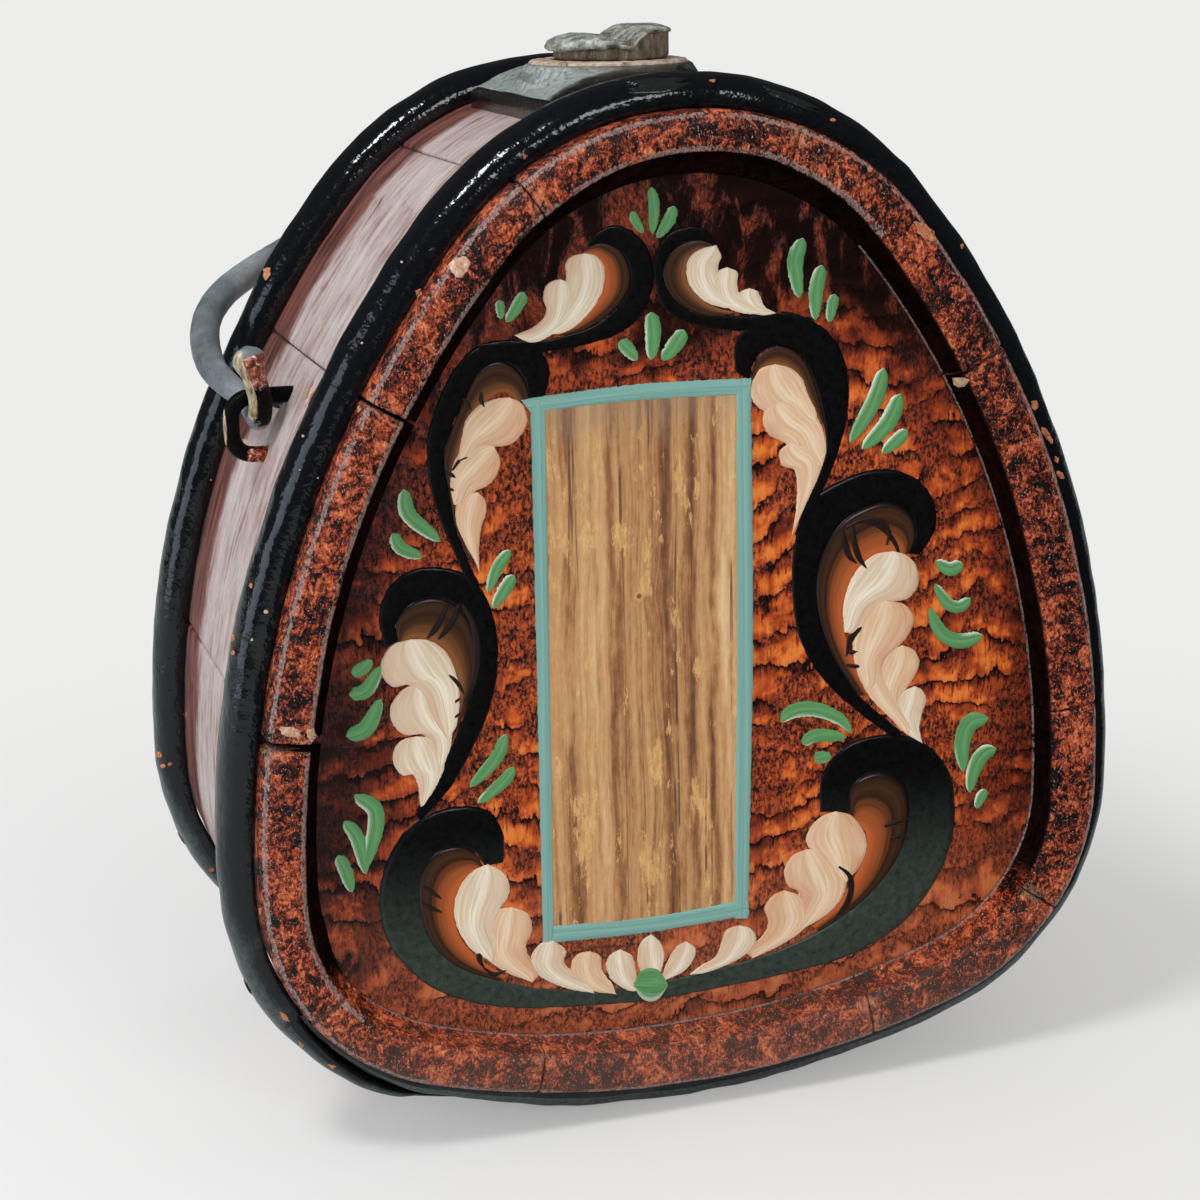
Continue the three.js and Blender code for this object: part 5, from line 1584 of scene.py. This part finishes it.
def make_stopper():
    """A plug with upright grain, under a bent, wavy cap that is low on the left."""
    top_line = np.array([at_depth(u, v, STAVE_MIDDLE) for u, v in CAP_TOP])
    under_line = np.array([at_depth(u, v, STAVE_MIDDLE - 12) for u, v in CAP_UNDER])
    limit = stopper_high.z / MM - 0.05
    gap = COLLAR_TOP + 0.12
    radius = 17.1

    def top_at(x):
        return float(np.interp(x, top_line[:, 0], top_line[:, 1]))

    def under_at(x):
        return float(np.interp(x, under_line[:, 0], under_line[:, 1]))
    rings = []
    sides = 110
    runs = [(share, "top") for share in (0.02, 0.2, 0.4, 0.58, 0.74, 0.86, 0.94, 0.985)]
    runs += [(1.0, "middle")]
    runs += [(share, "under") for share in (0.985, 0.94, 0.86, 0.7, 0.4, 0.02)]
    for share, kind in runs:
        ring = []
        for a in turns(sides):
            out = radius * (1 - 0.07 * abs(wobble(math.cos(a) * 3, math.sin(a) * 3, 0, 1, 21)))
            r = out * share
            x, y = r * math.cos(a), r * math.sin(a)
            fold = 0.9 * wobble(x, y, 0, 7, 31) + 0.5 * wobble(x, y, 0, 3, 12)
            high = top_at(x) - abs(fold) * 0.8 - 1.0 * (y / radius) ** 2
            low = min(max(under_at(x) + 0.5 * fold, gap + 0.3), high - 1.6)
            rounded = (high - low) * 0.22 * smooth(share, 0.8, 1.0)
            z = {"top": high - rounded, "middle": (high + low) / 2, "under": low + rounded}[kind]
            ring.append((x, STAVE_MIDDLE + y, max(gap, min(z, limit))))
        rings.append(ring)
    points, faces = loft(rings)
    cap = new_object("stopper_cap", points, faces, STOPPER)
    bottom = stopper_low.z / MM
    neck = 16.3
    step = gap + 0.8
    levels = [
        (bottom, 12.3), (bottom + 0.6, 12.8), (262, 13.2), (272, 13.45),
        (gap, 13.5), (gap, 15.9), (step, neck),
        ("under", 0.3), ("under", 0.7), ("under", 1.0),
    ]
    rings = []
    for z, r in levels:
        ring = []
        for a in turns(sides):
            grain = 0.14 * abs(noise.noise(Vector((math.cos(a) * 9, math.sin(a) * 9, 0.3))))
            narrow = grain + 1.6 * smooth(-math.cos(a), -0.2, 0.8)
            if z == "under":
                rr = neck - narrow
                x, y = rr * math.cos(a), rr * math.sin(a)
                level = step + (max(under_at(x), gap + 1.4) + 0.5 - gap - 0.8) * r
                ring.append((x, STAVE_MIDDLE + y, min(level, top_at(x) - 1.4)))
            else:
                rr = r - (narrow if r > 14 else 0.0)
                ring.append((rr * math.cos(a), STAVE_MIDDLE + rr * math.sin(a), z))
        rings.append(ring)
    points, faces = loft(rings)
    plug = new_object("stopper_plug", points, faces, STOPPER_BARE)
    for piece in (cap, plug):
        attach(piece, "stopper")
        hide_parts("stopper")


boss_piece = make_boss()
make_collar()
make_stopper()

# Peg heads pared flush with the boss and painted with it.
boss_surface = surface_of(boss_piece)
ABOVE = 0.3
STRAIGHT_DOWN = Vector((0, 0, -1))
for number in range(1, 5):
    node = f"boss_peg_{number}"
    low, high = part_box(node)
    x, y = (low.x + high.x) / 2, (low.y + high.y) / 2
    hit = boss_surface.ray_cast(Vector((x, y, ABOVE)), STRAIGHT_DOWN)[0]
    radius = (high.x - low.x) / 2 / MM
    rings = []
    for share, lift in ((1.0, -2.0), (1.0, 0.0), (0.9, 0.10), (0.6, 0.14), (0.25, 0.15)):
        ring = []
        for a in turns(24):
            px = x / MM + radius * share * math.cos(a)
            py = y / MM + radius * share * math.sin(a)
            found = boss_surface.ray_cast(Vector((px * MM, py * MM, ABOVE)), STRAIGHT_DOWN)[0]
            nick = 0.05 * wobble(px, py, number, 1.2)
            ring.append((px, py, (found or hit).z / MM + lift + nick))
        rings.append(ring)
    points, faces = loft(rings)
    peg = new_object(node + "_dressed", points, faces, BOSS)
    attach(peg, "keg")
    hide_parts(node)

# Chips in the paint. Each is given as a few pixels and laid on whatever the line of sight meets first.
SEEN = STAVES + ["hoop_front", "hoop_rear"]
surfaces = [surface_of(bpy.data.objects[name + "_dressed"]) for name in SEEN]
CHIP_LOOKS = {"chip": CHIP, "pale_chip": PALE_CHIP, "flake": FLAKE, "scuff": SCUFF, "pit_shade": TICK}
CHIPPED = {kind: ([], []) for kind in CHIP_LOOKS}
# A chip's points may not lie farther than this from its middle, in millimetres.
FARTHEST = 9


def meet(u, v):
    """The nearest point on the keg along a line of sight, with its normal, in millimetres."""
    start = Vector(EYE) * MM
    way = Vector(sight(u, v)).normalized()
    best = None
    for surface in surfaces:
        hit, normal, _, far = surface.ray_cast(start, way)
        if hit is not None and (best is None or far < best[2]):
            best = (hit / MM, normal if normal.dot(way) < 0 else -normal, far)
    return best


def chip(kind, pixels, lift=0.14, ragged=0.11):
    """A low, ragged patch. The pixels are its outline, or if there are two, its middle and half sizes."""
    points, faces = CHIPPED[kind]
    outline_px = np.array(pixels, float)
    if len(outline_px) == 2:
        (cu, cv), (ru, rv) = outline_px
        shape = []
        for t in turns(9):
            u = cu + ru * math.cos(t) * random.uniform(0.7, 1.15)
            shape.append((u, cv + rv * math.sin(t) * random.uniform(0.7, 1.15)))
        outline_px = np.array(shape)
    middle = outline_px.mean(0)
    centre = meet(*middle)
    if centre is None:
        return
    base = len(points)
    count = 26 if len(pixels) < 10 else 70
    around = resample(np.vstack([outline_px, outline_px[:1]]), count + 1)[0][:-1]
    reach = [[random.uniform(0.96 - ragged, 0.96 + ragged)] for _ in around]
    around = middle + (around - middle) * np.array(reach)
    layers = [(1.0, -0.15), (0.96, 0.35), (0.8, 1.0), (0.5, 0.8), (0.2, 1.0)]
    for share, raise_by in layers:
        for spot in around:
            px = middle + (spot - middle) * share
            found = meet(*px)
            if found is None or (found[0] - centre[0]).length > FARTHEST:
                found = centre
            points.append(tuple(found[0] + found[1] * lift * raise_by))
    points.append(tuple(centre[0] + centre[1] * lift))
    faces += ring_faces(len(layers), count, base)
    last = base + (len(layers) - 1) * count
    for k in range(count):
        faces.append((last + k, last + (k + 1) % count, base + len(layers) * count))


for spot in [
    [(1031, 401), (1037, 400), (1039, 407), (1035, 411), (1031, 408)],
    [(1040, 426), (1046, 428), (1050, 434), (1053, 441), (1052, 445), (1047, 440), (1042, 433)],
    [(1055, 456), (1059, 458), (1058, 464), (1054, 461)],
    [(1057, 470), (1063, 473), (1065, 479), (1060, 479), (1056, 474)],
    [(914, 221), (922, 222), (932, 229), (938, 237), (934, 243), (925, 240), (917, 232)],
    [(263, 268), (270, 267), (271, 275), (266, 281), (263, 277)], [(236, 272), (2, 3)],
    [(415, 291), (421, 288), (422, 294), (417, 298)], [(357, 407), (360, 404), (361, 410), (358, 413)],
    [(154, 750), (161, 752), (162, 757), (157, 758)], [(163, 766), (3, 3)], [(170, 764), (2.5, 2)],
    [(183, 714), (187, 712), (187, 718)], [(230, 636), (234, 634), (235, 640), (232, 642)],
    [(233, 653), (2, 3)], [(251, 586), (2, 3)], [(212, 870), (3, 2)],
    [(258, 908), (262, 908), (261, 916), (258, 914)],
    [(279, 1011), (286, 1014), (290, 1022), (283, 1020)], [(298, 1040), (305, 1046), (301, 1048)],
    [(327, 1064), (337, 1066), (333, 1070)], [(478, 93), (3, 3)], [(522, 153), (528, 156), (524, 160)],
    [(708, 80), (716, 79), (714, 83)], [(833, 120), (3, 2)], [(870, 170), (3, 3)], [(962, 246), (2, 3)],
]:
    chip("chip", spot)
for spot in [
    [(314, 384), (317, 389), (315, 399), (308, 411), (304, 410), (304, 406), (308, 396), (311, 387)],
    [(448, 262), (456, 257), (468, 256), (472, 262), (468, 270), (462, 278), (455, 277), (449, 270)],
    [(953, 378), (962, 377), (970, 379), (966, 386), (958, 388), (953, 384)],
    [(279, 727), (290, 726), (302, 731), (300, 738), (288, 737), (280, 733)],
    [(306, 729), (314, 728), (318, 738), (312, 743), (307, 737)],
    [(266, 612), (2.5, 2.5)], [(252, 640), (1.5, 1.5)], [(211, 480), (1, 1)], [(303, 436), (1.5, 1.5)],
    [(300, 470), (1.2, 1.2)], [(318, 478), (1, 1)], [(402, 262), (1.5, 1.5)], [(362, 343), (1.5, 1.5)],
]:
    chip("pale_chip", spot)
# A second coat on the front hoop's crown, left in patches where it has broken off.
FLAKES = [
    [(612, 87), (626, 81), (650, 78), (680, 77), (706, 77), (708, 81), (694, 83), (680, 89), (667, 94),
     (650, 95), (632, 95), (620, 92)],
    [(738, 80), (760, 85), (790, 94), (815, 105), (840, 118), (846, 126), (830, 122), (806, 110),
     (780, 99), (756, 92), (741, 88)],
]
for spot in FLAKES:
    chip("flake", spot, lift=0.26, ragged=0.04)
# The strip round the staple: rubbed red beneath it, and a dark patch of painted shade where its upper leg
# goes into the wood.
chip("pit_shade", [(267, 392), (276, 391), (285, 395), (284, 403), (280, 411), (273, 407), (267, 400)],
     lift=0.12)
chip("scuff", [(243, 447), (252, 446), (262, 448), (270, 455), (264, 464), (256, 462), (248, 455)],
     lift=0.12)
chip("pale_chip", [(242, 439), (247, 438), (251, 445), (248, 448), (244, 446)], lift=0.18)
for kind, (points, faces) in CHIPPED.items():
    piece = new_object(f"paint_{kind}", points, faces, CHIP_LOOKS[kind])
    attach(piece, "keg")

# Solids that keep their shape take their paint here.
for name, node in frame["nodes"].items():
    for start, paint in (("head_rear", GROUND), ("dowel", PEG)):
        if name.startswith(start):
            node.data.materials.clear()
            node.data.materials.append(paint)

# Floor, light and camera. The floor keeps the shadow; seen by the camera it fades into a pale ground.
PALE = colour(237, 237, 236)


def make_floor_look():
    look = Look("floor")
    tone = look.noise(look.place, 3.0, 3)
    look.finish(look.ramp(tone, [(0.3, 238, 238, 237), (0.7, 240, 240, 239)]), 0.8, level=0.1)
    plain = Signal(look, look.shader.outputs[0])
    pale = look.value("ShaderNodeEmission", 0, {"Color": PALE})
    x, y, _ = look.split(look.place)
    fade = look.times_plus(look.step(look.math("SQRT", x ** 2.0 + y ** 2.0), 0.18, 0.50), 0.66, 0.34)
    seen = look.join(look.ray("Camera"), plain, look.join(fade, plain, pale))
    # What gloss mirrors of the floor: dark before the keg, paler beside it.
    beside = look.math("MAXIMUM", look.step(x, -0.055, -0.095), look.step(y, -0.06, -0.03))
    shade = look.ramp(beside, [(0.0, (0.02, 0.02, 0.022, 1)), (1.0, (0.42, 0.45, 0.45, 1))])
    mirrored = look.value("ShaderNodeBsdfDiffuse", 0, {"Color": shade})
    surface = look.join(look.ray("Glossy"), seen, mirrored)
    look.put(look.tree.nodes["Material Output"].inputs["Surface"], surface)
    return look.material


FLOOR_HALF = 6000
floor_points = [(x * FLOOR_HALF, y * FLOOR_HALF, 0) for x, y in ((-1, -1), (1, -1), (1, 1), (-1, 1))]
floor = new_object("floor", floor_points, [(0, 1, 2, 3)], make_floor_look())

WORLD_STRENGTH = 0.55
GLOSS_STRENGTH = 0.035


class Sky(Look):
    """The world's node tree: one light for the scene, one seen by the camera, one mirrored by gloss."""

    def __init__(self, name):
        self.world = bpy.data.worlds.new(name)
        self.world.use_nodes = True
        self.tree = self.world.node_tree

    def light(self, shade, strength):
        return self.value("ShaderNodeBackground", 0, {"Color": shade, "Strength": strength})


sky = Sky("studio")
sky.tree.nodes.remove(sky.tree.nodes["Background"])
seen = sky.join(sky.ray("Camera"), sky.light((1, 1, 1, 1), WORLD_STRENGTH), sky.light(PALE, 1.0))
mirrored = sky.light((0.9, 0.95, 1.0, 1), GLOSS_STRENGTH)
sky.put(sky.tree.nodes["World Output"].inputs["Surface"], sky.join(sky.ray("Glossy"), seen, mirrored))
bpy.context.scene.world = sky.world


def lamp(name, place, target, size, power, tint=(1, 1, 1)):
    data = bpy.data.lights.new(name, "AREA")
    data.shape = "RECTANGLE"
    data.size, data.size_y = size
    data.energy = power
    data.color = tint
    lit = bpy.data.objects.new(name, data)
    lit.location = place
    lit.rotation_euler = (Vector(target) - Vector(place)).to_track_quat("-Z", "Y").to_euler()
    bpy.context.scene.collection.objects.link(lit)


lamp("key", (-0.75, -0.35, 1.45), (0, 0.05, 0.12), (0.34, 0.34), 11)
lamp("window", (-1.4, 0.12, 0.5), (0, 0.05, 0.15), (1.0, 0.9), 5, (0.78, 0.87, 1.0))
lamp("front", (0.3, -1.6, 0.9), (0, 0, 0.15), (0.6, 0.4), 5)

camera_data = bpy.data.cameras.new("camera")
camera_data.sensor_width = SENSOR
camera_data.lens = FOCAL_PIXELS / PICTURE * SENSOR
camera_data.clip_start = 0.01
camera_data.clip_end = 50
camera = bpy.data.objects.new("camera", camera_data)
bpy.context.scene.collection.objects.link(camera)
bpy.context.scene.camera = camera
turn = Matrix((RIGHT, -DOWN, -FORWARD)).transposed().to_4x4()
camera.matrix_world = Matrix.Translation(Vector(EYE) * MM) @ turn

bpy.context.scene.view_settings.view_transform = "Standard"
